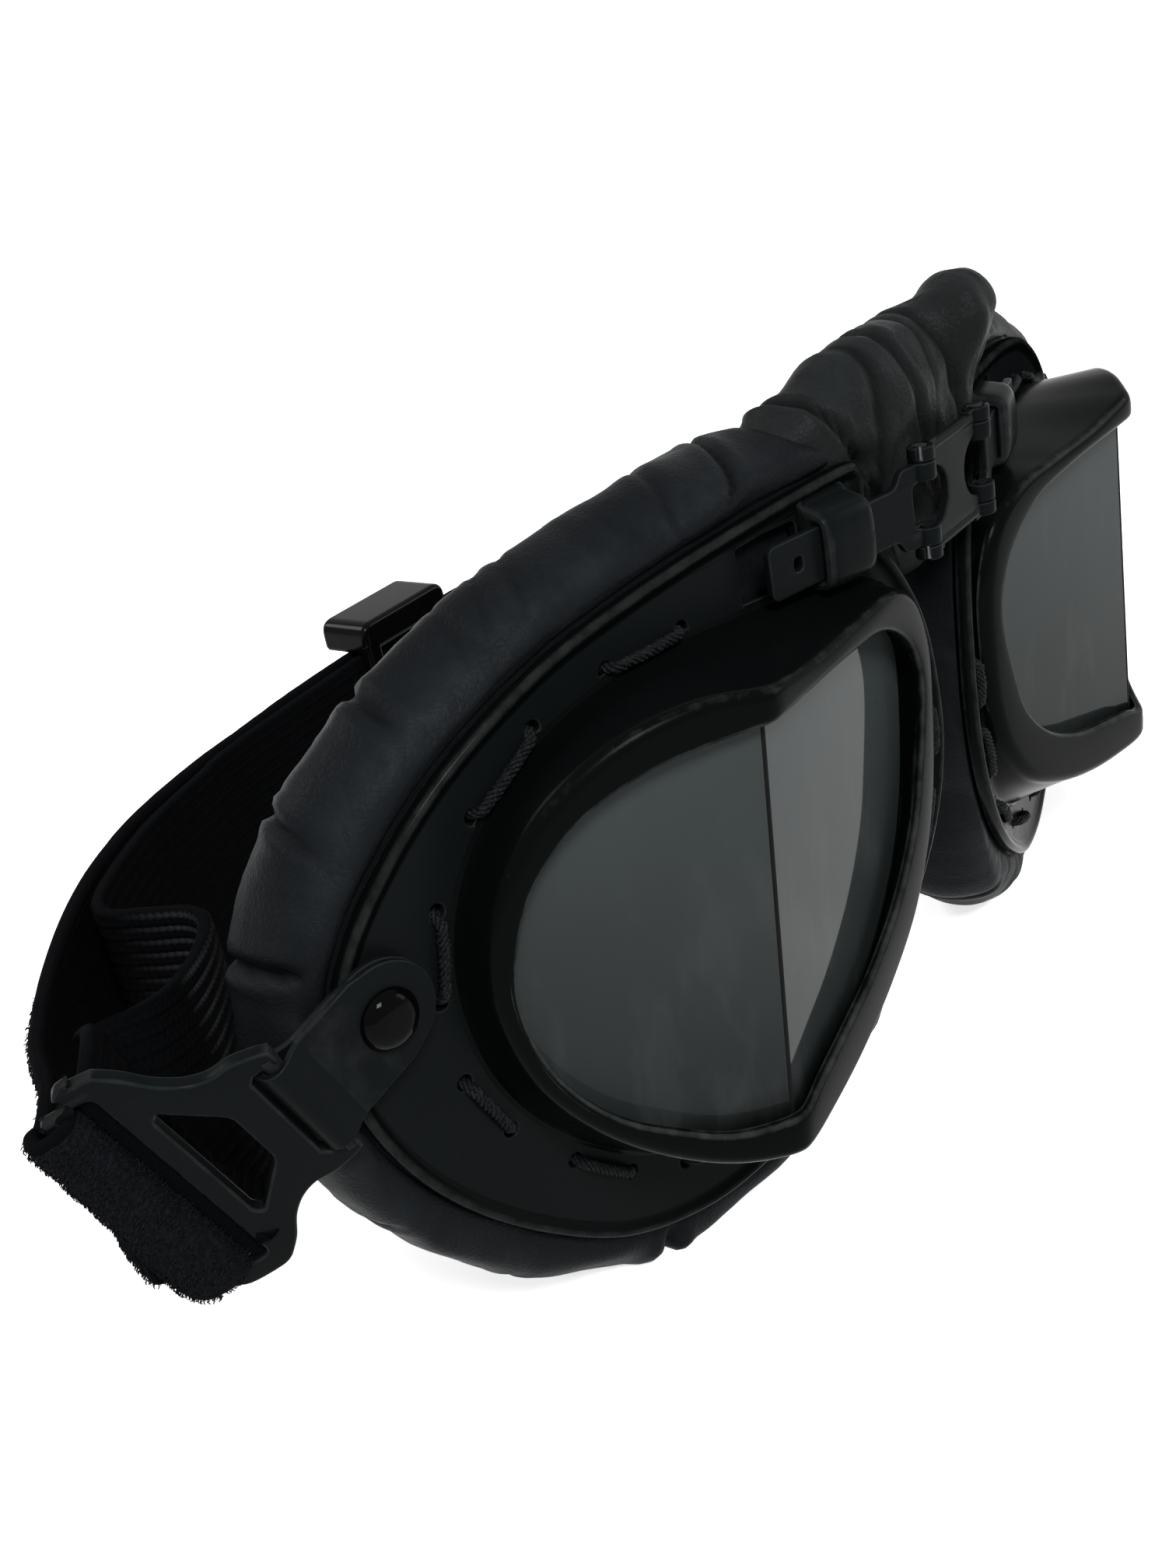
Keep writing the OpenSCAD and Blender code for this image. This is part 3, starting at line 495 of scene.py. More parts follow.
def webbingPaint(name="elasticWebbing", ribGlint=0.0, looped=0.0):
    s, p = webbingLook, Paint(name)
    across, along, _ = p.axes(p.add("ShaderNodeUVMap", {"uv_map": "run"}))
    where = p.place()
    weave = p.maths("SINE", along * (2 * math.pi / s["weave"]))
    ribs = p.maths("SINE", across * (math.pi / s["rib"]))
    yarn = p.maths("SINE", across * (2 * math.pi / s["yarn"]) + weave * 0.6)
    # painted highlight on the rib tops, only where the strap folds round
    fold = p.grade(along, *s["foldIn"]) * p.grade(along, *s["foldOut"], 1.0, 0.0)
    ribHighlight = p.grade(ribs * ribs * (weave * 0.12 + 0.88), 0.45, 0.95) * fold
    fuzz = p.cloud(where, 0.4, 5, 0.75)
    base = p.colour(fuzz, s["low"], s["high"])
    base = p.colour(p.cloud(where, 9, 3) * 0.5, base, s["patch"])
    if looped:  # the loop side fades into the plain weave along the strap
        loops = p.colour(p.cloud(where, 0.5, 3), s["loopLow"], s["loopHigh"])
        base = p.colour(p.grade(along, *s["loopEnd"], looped, 0.0), base, loops)
    base = p.colour(ribHighlight * ribGlint, base, s["ribHighlight"])
    return p.finish(Base_Color=base, Roughness=0.85, Specular_IOR_Level=0.008,
                    Normal=p.relief(weave * 0.25 + yarn * 0.35 + fuzz * 1.2, 0.14, 0.9))


# plain ones: name, two colours, roughness, size of the pattern, depth of its relief, gloss, metal
plainLooks = {
    "rivet": ("glossRivet", (0.0008, 0.0008, 0.0009), (0.0014, 0.0014, 0.0016), 0.06, 3, 0.002, 0.032),
    "pin": ("darkSteel", (0.06, 0.06, 0.063), (0.11, 0.11, 0.115), 0.36, 1.2, 0.01, 0.5, 1.0),
    "gasket": ("gasketRubber", (0.004, 0.004, 0.004), (0.007, 0.007, 0.007), 0.62, 1.5, 0.03, 0.03),
    "foam": ("openFoam", (0.004, 0.004, 0.004), (0.009, 0.009, 0.0095), 0.95, 0.8, 0.2, 0.01),
    "pile": ("loopPile", (0.0012, 0.0013, 0.0016), (0.016, 0.017, 0.02), 0.8, 0.5, 0.05, 0.01),
    "slider": ("glossSlider", (0.0012, 0.0012, 0.0013), (0.002, 0.002, 0.0022), 0.12, 6, 0.006, 0.05)}
finishes = {
    "enamel": enamelPaint(),
    # copies of the enamel darkened with painted shade: one for the plate's bead, one for the rim, which also
    # gets a painted highlight along its raised edges
    "shadedEnamel": enamelPaint("paintedShadeEnamel", 0.42, 0.21),
    "rimShadedGlintEnamel": enamelPaint("rimShadedGlintEnamel", 0.42, 0.21, 0.6),
    "lens": lensPaint(),
    "cord": cordPaint(),
    "leather": leatherPaint("softLeather", (0.0036, 0.0044, 0.0052), (0.0066, 0.0077, 0.0088), 0.46),
    "noseLeather": leatherPaint("creasedLeather", (0.0062, 0.0068, 0.0068), (0.012, 0.0128, 0.0126), 0.4),
    "webbing": webbingPaint(),
    # the ribbed webbing carries the painted highlight on its folded ribs
    "ribbed": webbingPaint("ribbedWebbing", 0.5),
    "looped": webbingPaint("loopedWebbing", 0.0, 1.0),
    **{key: plainPaint(*look) for key, look in plainLooks.items()}}
print("finishes:", len(finishes))


# eyepieces, in mm on their own plane
plateSizes = {"thick": 1.2, "beadHigh": 0.62, "beadWide": 1.5, "beadFace": 1.8, "holeRadius": 0.88,
              "rivetHole": 1.3, "windowFrom": 25.6, "windowTo": 17, "windowHalf": 3.3, "windowRound": 0.9,
              "socketFrom": 16.9, "socketLong": 7.2, "inset": 0.7, "lensGap": 0.35, "round": 0.22}
plateEdge = [
    [31.7, 33.2], [31.6, 30], [32.4, 26.5], [36, 21.5], [39.2, 14.5], [40.6, 6], [40.6, -2],
    [38.6, -10], [34.4, -18], [28.6, -25.5], [21, -32.3], [11.5, -38.2], [1, -40.6], [-8, -39.9],
    [-17, -36.6], [-26, -29.8], [-33.6, -21.8], [-39.2, -13.2], [-42.6, -4], [-42.9, 3.5],
    [-40.6, 10.6], [-34.8, 17.4], [-26, 23.9], [-14, 29.2], [-3, 31.8], [9, 33.6], [21, 34.8],
    [29.4, 35.35], [31, 34.7]]
rimBase = [
    [36.7, 5], [36.4, -3], [34.2, -10.8], [29.6, -18.2], [22.5, -24], [13.5, -28.2], [5, -30.4],
    [-2.5, -30.8], [-10, -29], [-17, -23.8], [-23, -17.2], [-27, -10], [-29, -2.5], [-29, 5],
    [-26.4, 12.4], [-20.8, 18.6], [-13.4, 22.6], [-5, 24.6], [3.6, 25], [12.5, 24.6],
    [21.5, 24], [29, 22.9], [33.8, 19.4], [36.1, 13]]
rimFront = [
    [37.8, 5.5], [36.6, -3.5], [33.6, -11], [28.2, -17.6], [20.5, -22], [12, -24.8], [4, -26.2],
    [-2.7, -26.6], [-9.6, -24.9], [-16.2, -21], [-22, -15.6], [-26.4, -9], [-28.6, -1.8],
    [-28.9, 5.2], [-26.7, 12.6], [-21.6, 19.6], [-14.2, 24], [-6.1, 25.6], [1.1, 24.8],
    [10.5, 23.4], [20.5, 22.9], [28.5, 22.3], [34.6, 19.2], [37.6, 12.8]]
rimMouth = [
    [34.2, 7], [32.2, -0.5], [29.4, -7], [23.6, -12.8], [15.8, -16.8], [8.5, -18.8], [2, -20.4],
    [-2.3, -21.7], [-9, -21], [-14.8, -18], [-20.2, -14], [-24.4, -8.2], [-26.6, -1.6],
    [-26.6, 5], [-23.8, 12.4], [-18.6, 17.6], [-12.2, 20.2], [-5.6, 21.1], [0.9, 21.2],
    [9, 20.9], [18, 20.3], [25.4, 19.2], [30.9, 16], [33.6, 12]]
lensEdge = [
    [34.6, 7], [33.6, -1.5], [30.8, -9], [25.6, -15], [18, -19.8], [9.5, -22.4], [3, -23.4],
    [-2.4, -23.9], [-9, -22.4], [-15, -19], [-20.4, -14.6], [-24.6, -8.6], [-26.8, -1.8],
    [-26.8, 5], [-24, 12.4], [-18.8, 17.6], [-12.4, 20.3], [-5.6, 21.2], [0.9, 21.4],
    [9.2, 21.1], [18.2, 20.6], [26, 19.6], [31.6, 16.4], [34.4, 12.2]]
padEdge = [
    [40.2, 6], [40, -3], [37.4, -12.5], [31.6, -22], [23.5, -30.4], [14, -36.9], [5, -40.1],
    [-3, -40.4], [-12, -38.6], [-21, -33.8], [-29, -26.4], [-35.6, -18.6], [-40.6, -9.6],
    [-42.9, 0.6], [-41.4, 9], [-35.5, 16.8], [-26.5, 23.6], [-15, 28.8], [-3, 31.8],
    [8, 33.5], [20, 34.8], [29.8, 33.8], [35.4, 27], [38.8, 16.5]]
stitchPairs = [
    [[-5.6, 25.9], [4.4, 26.3]], [[-15.2, 23.7], [-23.6, 18.3]], [[-29.6, 11], [-31.4, 2]],
    [[-31, -7.6], [-27.2, -15.6]], [[-20.6, -23.8], [-14, -29.6]], [[-6.6, -33], [2, -34]],
    [[10, -32.8], [18, -29.6]], [[25, -25.4], [31, -19.6]], [[34.4, -14.1], [37.5, -5.6]],
    [[38.4, -2.6], [38.58, 4.2]]]
rivetAt = (-38.2, 5.1)
# the ridge: its height, the slopes beside it in degrees, its lean and a point that it passes over
rimSizes = {"top": 17.3, "noseSlope": 20, "templeSlope": 19.2, "lean": 4.27, "lensDrop": 2.2,
            "lensNose": 22.5, "lensTemple": 21, "ridgeRound": 0.9, "ridgeU": -0.85, "ridgeV": -2}
ridgeLean = math.radians(rimSizes["lean"])
bridgeSizes = {"sheet": 1.0, "stem": 5.8, "head": 9.2, "knuckle": 1.5, "pinHole": 0.78, "link": 10.8,
               "cutOut": 3.4, "hingeX": 7.1, "hingeW": 3.7, "v": 28.6, "linkCurl": 1.5, "tongueCurl": 2.0,
               "tongueFrom": 24, "headFrom": 3.8, "headTo": 1.1, "slotFrom": 3.4, "slotLong": 1.2,
               "slotHalf": 0.75, "curlGap": 0.15, "rollEnd": 0.02}
hingeW, bridgeV = bridgeSizes["hingeW"], bridgeSizes["v"]
hingeU = (placing["eyeX"] - bridgeSizes["hingeX"] + hingeW * sinWrap) / cosWrap
hingeY = -hingeU * sinWrap - hingeW * cosWrap


def offRidge(p):
    u, v = p[:, 0] - rimSizes["ridgeU"], p[:, 1] - rimSizes["ridgeV"]
    return u * math.cos(ridgeLean) - v * math.sin(ridgeLean)


def slopeAt(d, nose, temple):
    return np.where(d > 0, *(math.tan(math.radians(rimSizes[side])) for side in (nose, temple)))


def frontHeight(p):
    d = offRidge(p)
    far = np.sqrt(d * d + rimSizes["ridgeRound"] ** 2)
    return rimSizes["top"] - far * slopeAt(d, "noseSlope", "templeSlope")


def lensHeight(p):
    d = offRidge(p)
    return rimSizes["top"] - rimSizes["lensDrop"] - abs(d) * slopeAt(d, "lensNose", "lensTemple")


def level(plane, height):  # a loop of the plane at a height, one value or one for each point
    return columns(plane, np.broadcast_to(height, len(plane)))


def ringMesh(layers):  # layers of the section, each a closed loop of [u, v, w]
    stack = np.stack(layers, axis=1)
    return stack.reshape(-1, 3), ringFaces(stack.shape[0], stack.shape[1])


def plateShape():
    s = plateSizes
    edge, mouth = grown(closedCurve(plateEdge, 4), -s["inset"]), grown(closedCurve(lensEdge, 4), s["lensGap"])
    window = rounded(boxCorners(hingeU - s["windowFrom"], bridgeV - s["windowHalf"], hingeU - s["windowTo"],
                                bridgeV + s["windowHalf"]), s["windowRound"])
    holes = [circle(*p, s["holeRadius"], 20) for pair in stitchPairs for p in pair]
    rivetHole = circle(*rivetAt, s["rivetHole"], 20)
    p, f = slab([edge, mouth, window, rivetHole] + holes, s["thick"], s["round"])
    p[:, 2] += s["thick"] / 2
    return p, f


def beadShape():
    edge = closedCurve(plateEdge, 6)
    wide, high = plateSizes["beadWide"], plateSizes["beadHigh"]
    top = plateSizes["thick"] + high
    section = [(-wide - 0.9, 1.13), (-wide - 0.35, 1.24), (-wide, 1.36), (-wide + 0.3, 1.56),
               (-wide + 0.6, top - 0.07), (-0.55, top), (-0.28, top - 0.1), (-0.08, top - 0.36),
               (0, top - 0.75), (0, 0.5), (-0.09, 0.16), (-0.3, 0), (-wide - 0.9, 0.02)]
    return ringMesh([level(grown(edge, d), w) for d, w in section])


def rimShape():
    base, front, mouth, seat = [closedCurve(edge, 10) for edge in (rimBase, rimFront, rimMouth, lensEdge)]
    t = plateSizes["thick"]
    wall = np.maximum(frontHeight(front) - 1.5, t + 0.35)

    def between(height, share):
        return level(base * (1 - share) + front * share, height)
    layers = [level(grown(base, 1.1), t - 0.12), level(grown(base, 0.6), t + 0.05),
              level(grown(base, 0.25), t + 0.2), between(t + 0.12 * (wall - t) + 0.25, 0.06)]
    for share in (0.3, 0.5, 0.7, 0.88):  # the wall
        layers.append(between(t + share * (wall - t) + 0.12 * (1 - share), share))
    for inset, drop in ((0, 1.5), (0.03, 1.1), (0.16, 0.72), (0.42, 0.4), (0.8, 0.17), (1.25, 0.05)):
        loop = grown(front, -inset)
        layers.append(level(loop, np.maximum(frontHeight(loop) - drop, t + 0.3)))
    for share in (0.45, 0.7):  # the front face
        loop = grown(front, -1.25) * (1 - share) + grown(mouth, 0.75) * share
        layers.append(level(loop, frontHeight(loop)))
    for out, drop in ((0.75, 0.02), (0.4, 0.12), (0.14, 0.36), (0.02, 0.72), (0, 1.1)):
        loop = grown(mouth, out)
        layers.append(level(loop, frontHeight(loop) - drop))
    inner = grown(seat, 0.02)
    lens = lensHeight(inner)
    layers += [level(mouth * 0.5 + inner * 0.5, frontHeight(mouth) * 0.4 + lens * 0.6 + 0.1),
               level(inner, lens + 0.25), level(inner, np.minimum(lens - 0.4, t)),
               level(grown(seat, 0.8), t - 0.12)]
    return ringMesh(layers)


def mirrored(half):  # the half with its other side, as one loop
    return half + [[-a, b] for a, b in half[:0:-1] if a]


def socketShape():  # pressed-up strap over the tongue, open at both ends
    outer = closedCurve(mirrored([[0, 0.4], [-5.7, 0.6], [-5.3, 1.35], [-4.75, 2.1], [-4.5, 3.3], [-4.05, 4.7],
                                  [-3.1, 5.45], [-1.6, 5.75], [0, 5.8]]), 4)
    inner = closedCurve(mirrored([[0, 3.04], [-1.5, 3.04], [-2.7, 3.05], [-3.05, 3.3], [-3.06, 3.7],
                                  [-3.05, 4.2], [-2.7, 4.36], [-1.5, 4.37], [0, 4.37]]), 4)
    start, length = hingeU - plateSizes["socketFrom"], plateSizes["socketLong"]
    layers = []
    for share, u in ((0, 0.25), (0.35, 0.02), (0.7, 0.12), (0.9, 0.5), (1, 1.2), (1.02, 2.4),
                     (1.02, length - 2.6), (0.99, length - 1.3), (0.86, length - 0.4), (0.6, length - 0.05),
                     (0.2, length), (0, length - 0.25)):
        ring = inner * (1 - share) + outer * share
        layers.append(columns(np.full(len(ring), start + u), ring[:, 0] + bridgeV, ring[:, 1]))
    return ringMesh(layers)


def seamShape():  # dark bead that seals the joint between the two panes
    run = np.linspace(-24, 26, 90)
    line = columns(rimSizes["ridgeU"] + run * math.sin(ridgeLean),
                   rimSizes["ridgeV"] + run * math.cos(ridgeLean))
    line = line[signedInside(line, closedCurve(lensEdge, 4)) > 0.15]
    top = rimSizes["top"] - rimSizes["lensDrop"]
    half = [(-0.36, -0.5), (-0.34, -0.16), (-0.2, 0.02), (0, 0.08)]
    section = half + [(-a, h) for a, h in half[2::-1]]
    across = (math.cos(ridgeLean), -math.sin(ridgeLean))
    rings = [[(u + a * across[0], v + a * across[1], top + h) for a, h in section] for u, v in line]
    return np.array(rings).reshape(-1, 3), ringFaces(len(line), len(section), False, True)


def onEyepiece(sign, *shapes):
    return [(toPart(p, sign), f) for p, f in shapes]


for side, sign in sides.items():
    body = "eyepiece_" + side
    plate = makeParts("facePlate_" + side, onEyepiece(sign, plateShape(), beadShape(), socketShape()))
    finishHard(plate, body, "enamel", "face_plate_" + side)
    # the bead's faces take the copy of the enamel darkened with painted shade
    plate.data.materials.append(finishes["shadedEnamel"])  # for the bead
    middles = fromPart([face.center for face in plate.data.polygons], sign)
    fromEdge, w = signedInside(middles[:, :2], closedCurve(plateEdge, 4)), middles[:, 2]
    onBead = (fromEdge < plateSizes["beadFace"]) & (w > -0.1) & (w < 1.9)
    plate.data.polygons.foreach_set("material_index", onBead.astype(np.int32))
    rim = makeParts("lensRim_" + side, onEyepiece(sign, rimShape()))
    # the rim takes the enamel darkened with painted shade, with a painted highlight along its raised edges
    finishHard(rim, body, "enamel", "lens_rim_" + side, finish="rimShadedGlintEnamel")
    seam = makeParts("lensSeam_" + side, onEyepiece(sign, seamShape()))
    finishHard(seam, body, "gasket", wear=False)
print("eyepieces done")


# nose bridge
def sheetPiece(outlines, thick, roundedBy, put):  # slab laid down by a function of its [a, b, height]
    p, f = slab(outlines, thick, roundedBy)
    return put(p), f


def knuckleProfile(turn):  # a curl with a slit where the sheet comes back on itself
    outer = circle(0, 0, bridgeSizes["knuckle"], 40, turn + 12, turn + 348)
    return outer + circle(0, 0, bridgeSizes["pinHole"], 28, turn + 340, turn + 20)


def tonguePieces(sign):
    s = bridgeSizes
    u0, head, end = hingeU - s["tongueFrom"], hingeU - s["headFrom"], hingeU - s["headTo"]
    half, headHalf, curl, slotEnd = s["stem"] / 2, s["head"] / 2, s["tongueCurl"], s["slotFrom"] + s["slotLong"]
    lower = [[u0, -half], [head - 1.1, -half], [head, -headHalf], [end, -headHalf], [end, curl - headHalf],
             [head + 1.5, curl + 0.3 - headHalf]]
    radii = [1.1, 0.8, 0.7, 0.2, 0.2, 0.7]
    outline = rounded(lower + [[u, -v] for u, v in lower[::-1]], radii + radii[::-1])
    slot = rounded(boxCorners(u0 + s["slotFrom"], -s["slotHalf"], u0 + slotEnd, s["slotHalf"]), 0.5)

    def put(u, v, w):
        return toPart(columns(u, v + bridgeV, w + hingeW), sign)
    parts = [sheetPiece([outline, slot], s["sheet"], 0.24, lambda p: put(*p.T))]
    for m in (-1, 1):
        parts.append(sheetPiece([knuckleProfile(200)], curl, 0.2, lambda p: put(
            p[:, 0] + hingeU, p[:, 2] + m * (headHalf - curl / 2), p[:, 1])))
    return parts


def linkPieces():
    s = bridgeSizes
    half, high, cut = s["hingeX"] - s["knuckle"] - 0.4, s["link"] / 2, s["cutOut"]
    arc = circle(-half - 0.3, 0, cut, 28, -80, 80)
    left = [(-half, -high + 0.4), (-half, -cut - 0.25)] + arc + [(-half, cut + 0.25), (-half, high - 0.4)]

    def put(x, back, v):
        return middleToPart(columns(x, hingeY - back, v + bridgeV))
    parts = [sheetPiece([left + [(-a, b) for a, b in left[::-1]]], s["sheet"], 0.22,
                        lambda p: put(p[:, 0], p[:, 2], p[:, 1]))]
    end = [(0.68, half - 0.6), (0.62, half - 0.2), (0.4, half + s["rollEnd"]), (0, half + s["rollEnd"])]
    roll, f = lathe([(r, -h) for r, h in end[::-1]] + end, 28)
    arm = rounded(boxCorners(half - 1, -0.5, s["hingeX"] - 0.9, 0.5), 0.1)
    for m in (-1, 1):
        parts.append((put(roll[:, 2], roll[:, 0], roll[:, 1] + m * high), f))
        beside = m * (s["head"] / 2 + s["curlGap"] + s["linkCurl"] / 2)
        for n in (-1, 1):
            parts.append(sheetPiece([knuckleProfile(160)], s["linkCurl"], 0.18,
                                    lambda p: put(n * (s["hingeX"] - p[:, 0]), p[:, 1], p[:, 2] + beside)))
            parts.append(sheetPiece([arm], s["linkCurl"], 0.12,
                                    lambda p: put(n * p[:, 0], p[:, 1], p[:, 2] + beside)))
    return parts


for side, sign in sides.items():
    tongue = makeParts("bridgeTongue_" + side, tonguePieces(sign))
    finishHard(tongue, "tongue_" + side, "enamel", "bridge_tongue_" + side)
finishHard(makeParts("bridgeLink", linkPieces()), "bridge", "enamel", "bridge_link")
print("bridge done")


# temple tab, rivet and buckle
tabSizes = {"thick": 0.7, "wide": 11.4, "long": 10, "drop": 23.5, "shift": -0.3, "barRadius": 0.9,
            "layerGap": 2.9, "turn": 28.4, "lowerTurn": 15, "foldFrom": 7.4, "round": 0.17, "lift": 0.35}
buckleSizes = {"thick": 1.6, "slotMiddle": 15, "slotWide": 3.6, "slotEnd": 13.3, "rim": 2.4, "round": 0.36,
               "barHalf": 7.6, "barOut": 0.9, "shoulder": 11.8, "hookAt": 13.2}


def turned(a, b, degrees):
    c, s = math.cos(math.radians(degrees)), math.sin(math.radians(degrees))
    return a * c - b * s, a * s + b * c


def tabPlace(p, sign):  # along the tab, across it, and up from between its layers
    u, v = turned(p[:, 0], p[:, 1], 180 + tabSizes["drop"])
    return toPart(columns(rivetAt[0] + u, rivetAt[1] + v, p[:, 2] + tabSizes["layerGap"]), sign)


def bucklePlace(p, sign):  # out from the hinge bar, along it, and up
    out, up = turned(p[:, 0], p[:, 2], -tabSizes["turn"])
    return tabPlace(columns(tabSizes["long"] + out, tabSizes["shift"] + p[:, 1], up), sign)


def tabPieces(sign):
    s = tabSizes
    half, shift, thick = s["wide"] / 2, s["shift"], s["thick"]
    ends = [(s["foldFrom"], shift - half), (s["foldFrom"], shift + half)]
    upper = ends + [(0.6, shift + half)] + circle(0, shift, half - 0.35, 30, 100, 260) + [(0.6, shift - half)]
    lobe = [turned(a, b, s["lowerTurn"]) for a, b in circle(0, shift, half - 0.2, 30, 85, 262)]
    lower = ends + [(1.5, shift + half)] + lobe + [(2.5, shift - half)]
    parts = [sheetPiece([outline], thick, s["round"], lambda p: tabPlace(p + [0, 0, lift], sign))
             for outline, lift in ((upper, s["lift"]), (lower, -s["lift"] - 0.01))]
    r = s["barRadius"] + 0.08 + thick / 2  # the fold round the buckle's bar
    reach = [(6.2, 0.33), (7.2, 0.36), (8.2, 0.68), (9.1, 1.14)]
    path = openCurve(reach, 3).tolist()[:-1]
    path += circle(s["long"], 0, r, 26, 115, -115)
    path += openCurve([(a, -b) for a, b in reach[::-1]], 3).tolist()[1:]
    path = np.array(path)
    t = np.gradient(path, axis=0)
    t /= np.linalg.norm(t, axis=1)[:, None]
    side = columns(-t[:, 1], t[:, 0]) * (thick / 2 - 0.01)
    band = (path + side).tolist() + (path - side)[::-1].tolist()
    parts.append(sheetPiece([band], s["wide"] - 0.02, 0.15,
                            lambda p: tabPlace(columns(p[:, 0], p[:, 2] + shift, p[:, 1]), sign)))
    return parts


def rivetPieces(sign):
    head = [(0, 1.5), (1.2, 1.49), (1.62, 1.44), (1.78, 1.37), (1.95, 1.32), (2.25, 1.17), (2.6, 0.9),
            (2.88, 0.58), (3.05, 0.28), (3.1, 0.08), (3.06, 0.0), (2.9, -0.02), (0, -0.02)]
    shank = [(0, 0.3), (1.2, 0.3), (1.2, -3.1), (2.0, -3.12), (2.1, -3.2), (2.0, -3.3), (0, -3.32)]
    return [(tabPlace(p + [0, 0, tabSizes["thick"] + 0.03], sign), f)
            for p, f in (lathe(head, 64), lathe(shank, 32))]


def bucklePieces(sign):
    s = buckleSizes
    q0, q1 = s["slotMiddle"] - s["slotWide"] / 2, s["slotMiddle"] + s["slotWide"] / 2
    end, barHalf, barOut = s["slotEnd"], s["barHalf"], s["barOut"]
    shoulder, hookAt = s["shoulder"], s["hookAt"]
    reach = end + s["rim"]
    edge = openCurve([[0, 8], [2.5, 8.6], [4.8, 8.5], [6.8, 9.3], [8.6, reach - 4.7], [10.2, reach - 2.3],
                      [shoulder, reach - 0.6]], 5).tolist()
    top = openCurve([[shoulder, reach - 0.6], [hookAt, reach], [q1, reach - 0.1], [q1 + 1.5, reach - 1.3],
                     [q1 + 1.9, reach - 2.7]], 4).tolist()[1:]
    hook = rounded([[q1 + 1.9, 0.5 - end], [q1 + 1.4, -end], [q0 + 2, -end], [q0 + 2.1, -end - 1.2],
                    [q1 - 0.9, 0.7 - reach], [q1 - 1.6, -reach], [hookAt, -reach - 0.2]],
                   [0.3, 0.9, 0.3, 0.3, 0.6, 0.8, 1.2], 4)
    half = tabSizes["wide"] / 2 + 0.35
    outer = [(-barOut, barHalf)] + edge + top + hook + [(a, -b) for a, b in edge[::-1]]
    outer += [(-barOut, -barHalf), (-barOut, -half), (1.7, -half), (2.3, -half + 0.6), (2.3, half - 0.6),
              (1.7, half), (-barOut, half)]
    window = rounded([[5.9, 3.4], [5.9, -3.4], [10.4, -8.2], [11, -7.5], [11, 7.5], [10.4, 8.2]],
                     [0.8, 0.8, 0.6, 0.5, 0.5, 0.6], 5)
    slot = rounded(boxCorners(q0, -end, q1, end), 1.0, 6)
    parts = [sheetPiece([outer, window, slot], s["thick"], s["round"], lambda p: bucklePlace(p, sign))]
    long, r = half + 0.9, tabSizes["barRadius"]
    bar, f = lathe([(0, -long), (r, -long), (r, long), (0, long)], 28)
    parts.append((bucklePlace(bar[:, [0, 2, 1]], sign), f))
    return parts


for side, sign in sides.items():
    tab = makeParts("templeTab_" + side, tabPieces(sign))
    finishHard(tab, "tab_" + side, "enamel", "temple_tab_" + side)
    rivet = makeParts("templeRivet_" + side, rivetPieces(sign), 50)
    finishHard(rivet, "eyepiece_" + side, "rivet", "temple_rivet_" + side, wear=False)
    buckle = makeParts("buckle_" + side, bucklePieces(sign))
    finishHard(buckle, "buckle_" + side, "enamel", "buckle_" + side)
print("tabs and buckles done")

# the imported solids, by a word in the node's name
nodeFinishes = {"lens_g": "gasket", "_lens_": "lens", "hinge_pins": "pin", "pad_foam": "foam", "lacing": "cord",
                "eye_pad": "leather", "nose_pad": "leather", "strap_slider": "slider", "strap": "webbing"}
for name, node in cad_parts.items():
    for word, finish in nodeFinishes.items():
        if word in name:
            node.data.materials.clear()
            node.data.materials.append(finishes[finish])
            break


# leather pads
padSizes = {"stations": 5, "swell": 0.9, "flatFrom": 24, "flatOver": 12, "flatBack": 0.36, "pitch": 10.5,
            "wave": 0.32, "foldDeep": 0.26, "under": 0.33, "proud": 1.0, "sheenAt": 6.1, "crownWide": 0.95,
            "seeds": {"right": 3.1, "left": 17.4}, "waveSize": 15, "foldSize": 3.4, "foldedSize": 26,
            # where the section gets smaller: toward the nose, up the plate and at the temple
            "flatLess": 0.9, "upFrom": -22, "upOver": 30, "upLess": 0.24, "flankFrom": 33, "flankOver": 8,
            "flankLess": 0.2, "thinFrom": 26, "thinOver": 9, "thinLess": 0.75,
            # from, over, to and over, in places round the section
            "onRoll": (3.2, 1.2, 12.2, 1.5), "freeCloth": (3.6, 1.5, 11.6, 1.5)}
clothSettings = {"quality": 6, "mass": 0.15, "use_pressure": True, "uniform_pressure_force": 4.0,
                 "vertex_group_mass": "held", "shrink_min": -0.035, "shrink_max": -0.035,
                 "tension_stiffness": 12, "compression_stiffness": 12, "bending_stiffness": 0.4}
clothSteps = 20
# the pad's section: share of the way from lens to edge, way out from the edge, height
padSection = [[0.06, 0, -2.6], [0.06, 0, -0.38], [0.55, 0, -0.36], [1, -0.9, -0.36], [1, 0.9, 0.05],
              [1, 2.6, 0.35], [1, 4.7, -0.55], [1, 6.5, -3.1], [1, 7.4, -6.7], [1, 6.6, -10.2],
              [1, 3.6, -14.0], [0.78, 0, -16], [0.32, 0, -14.4], [0.1, 0, -8]]
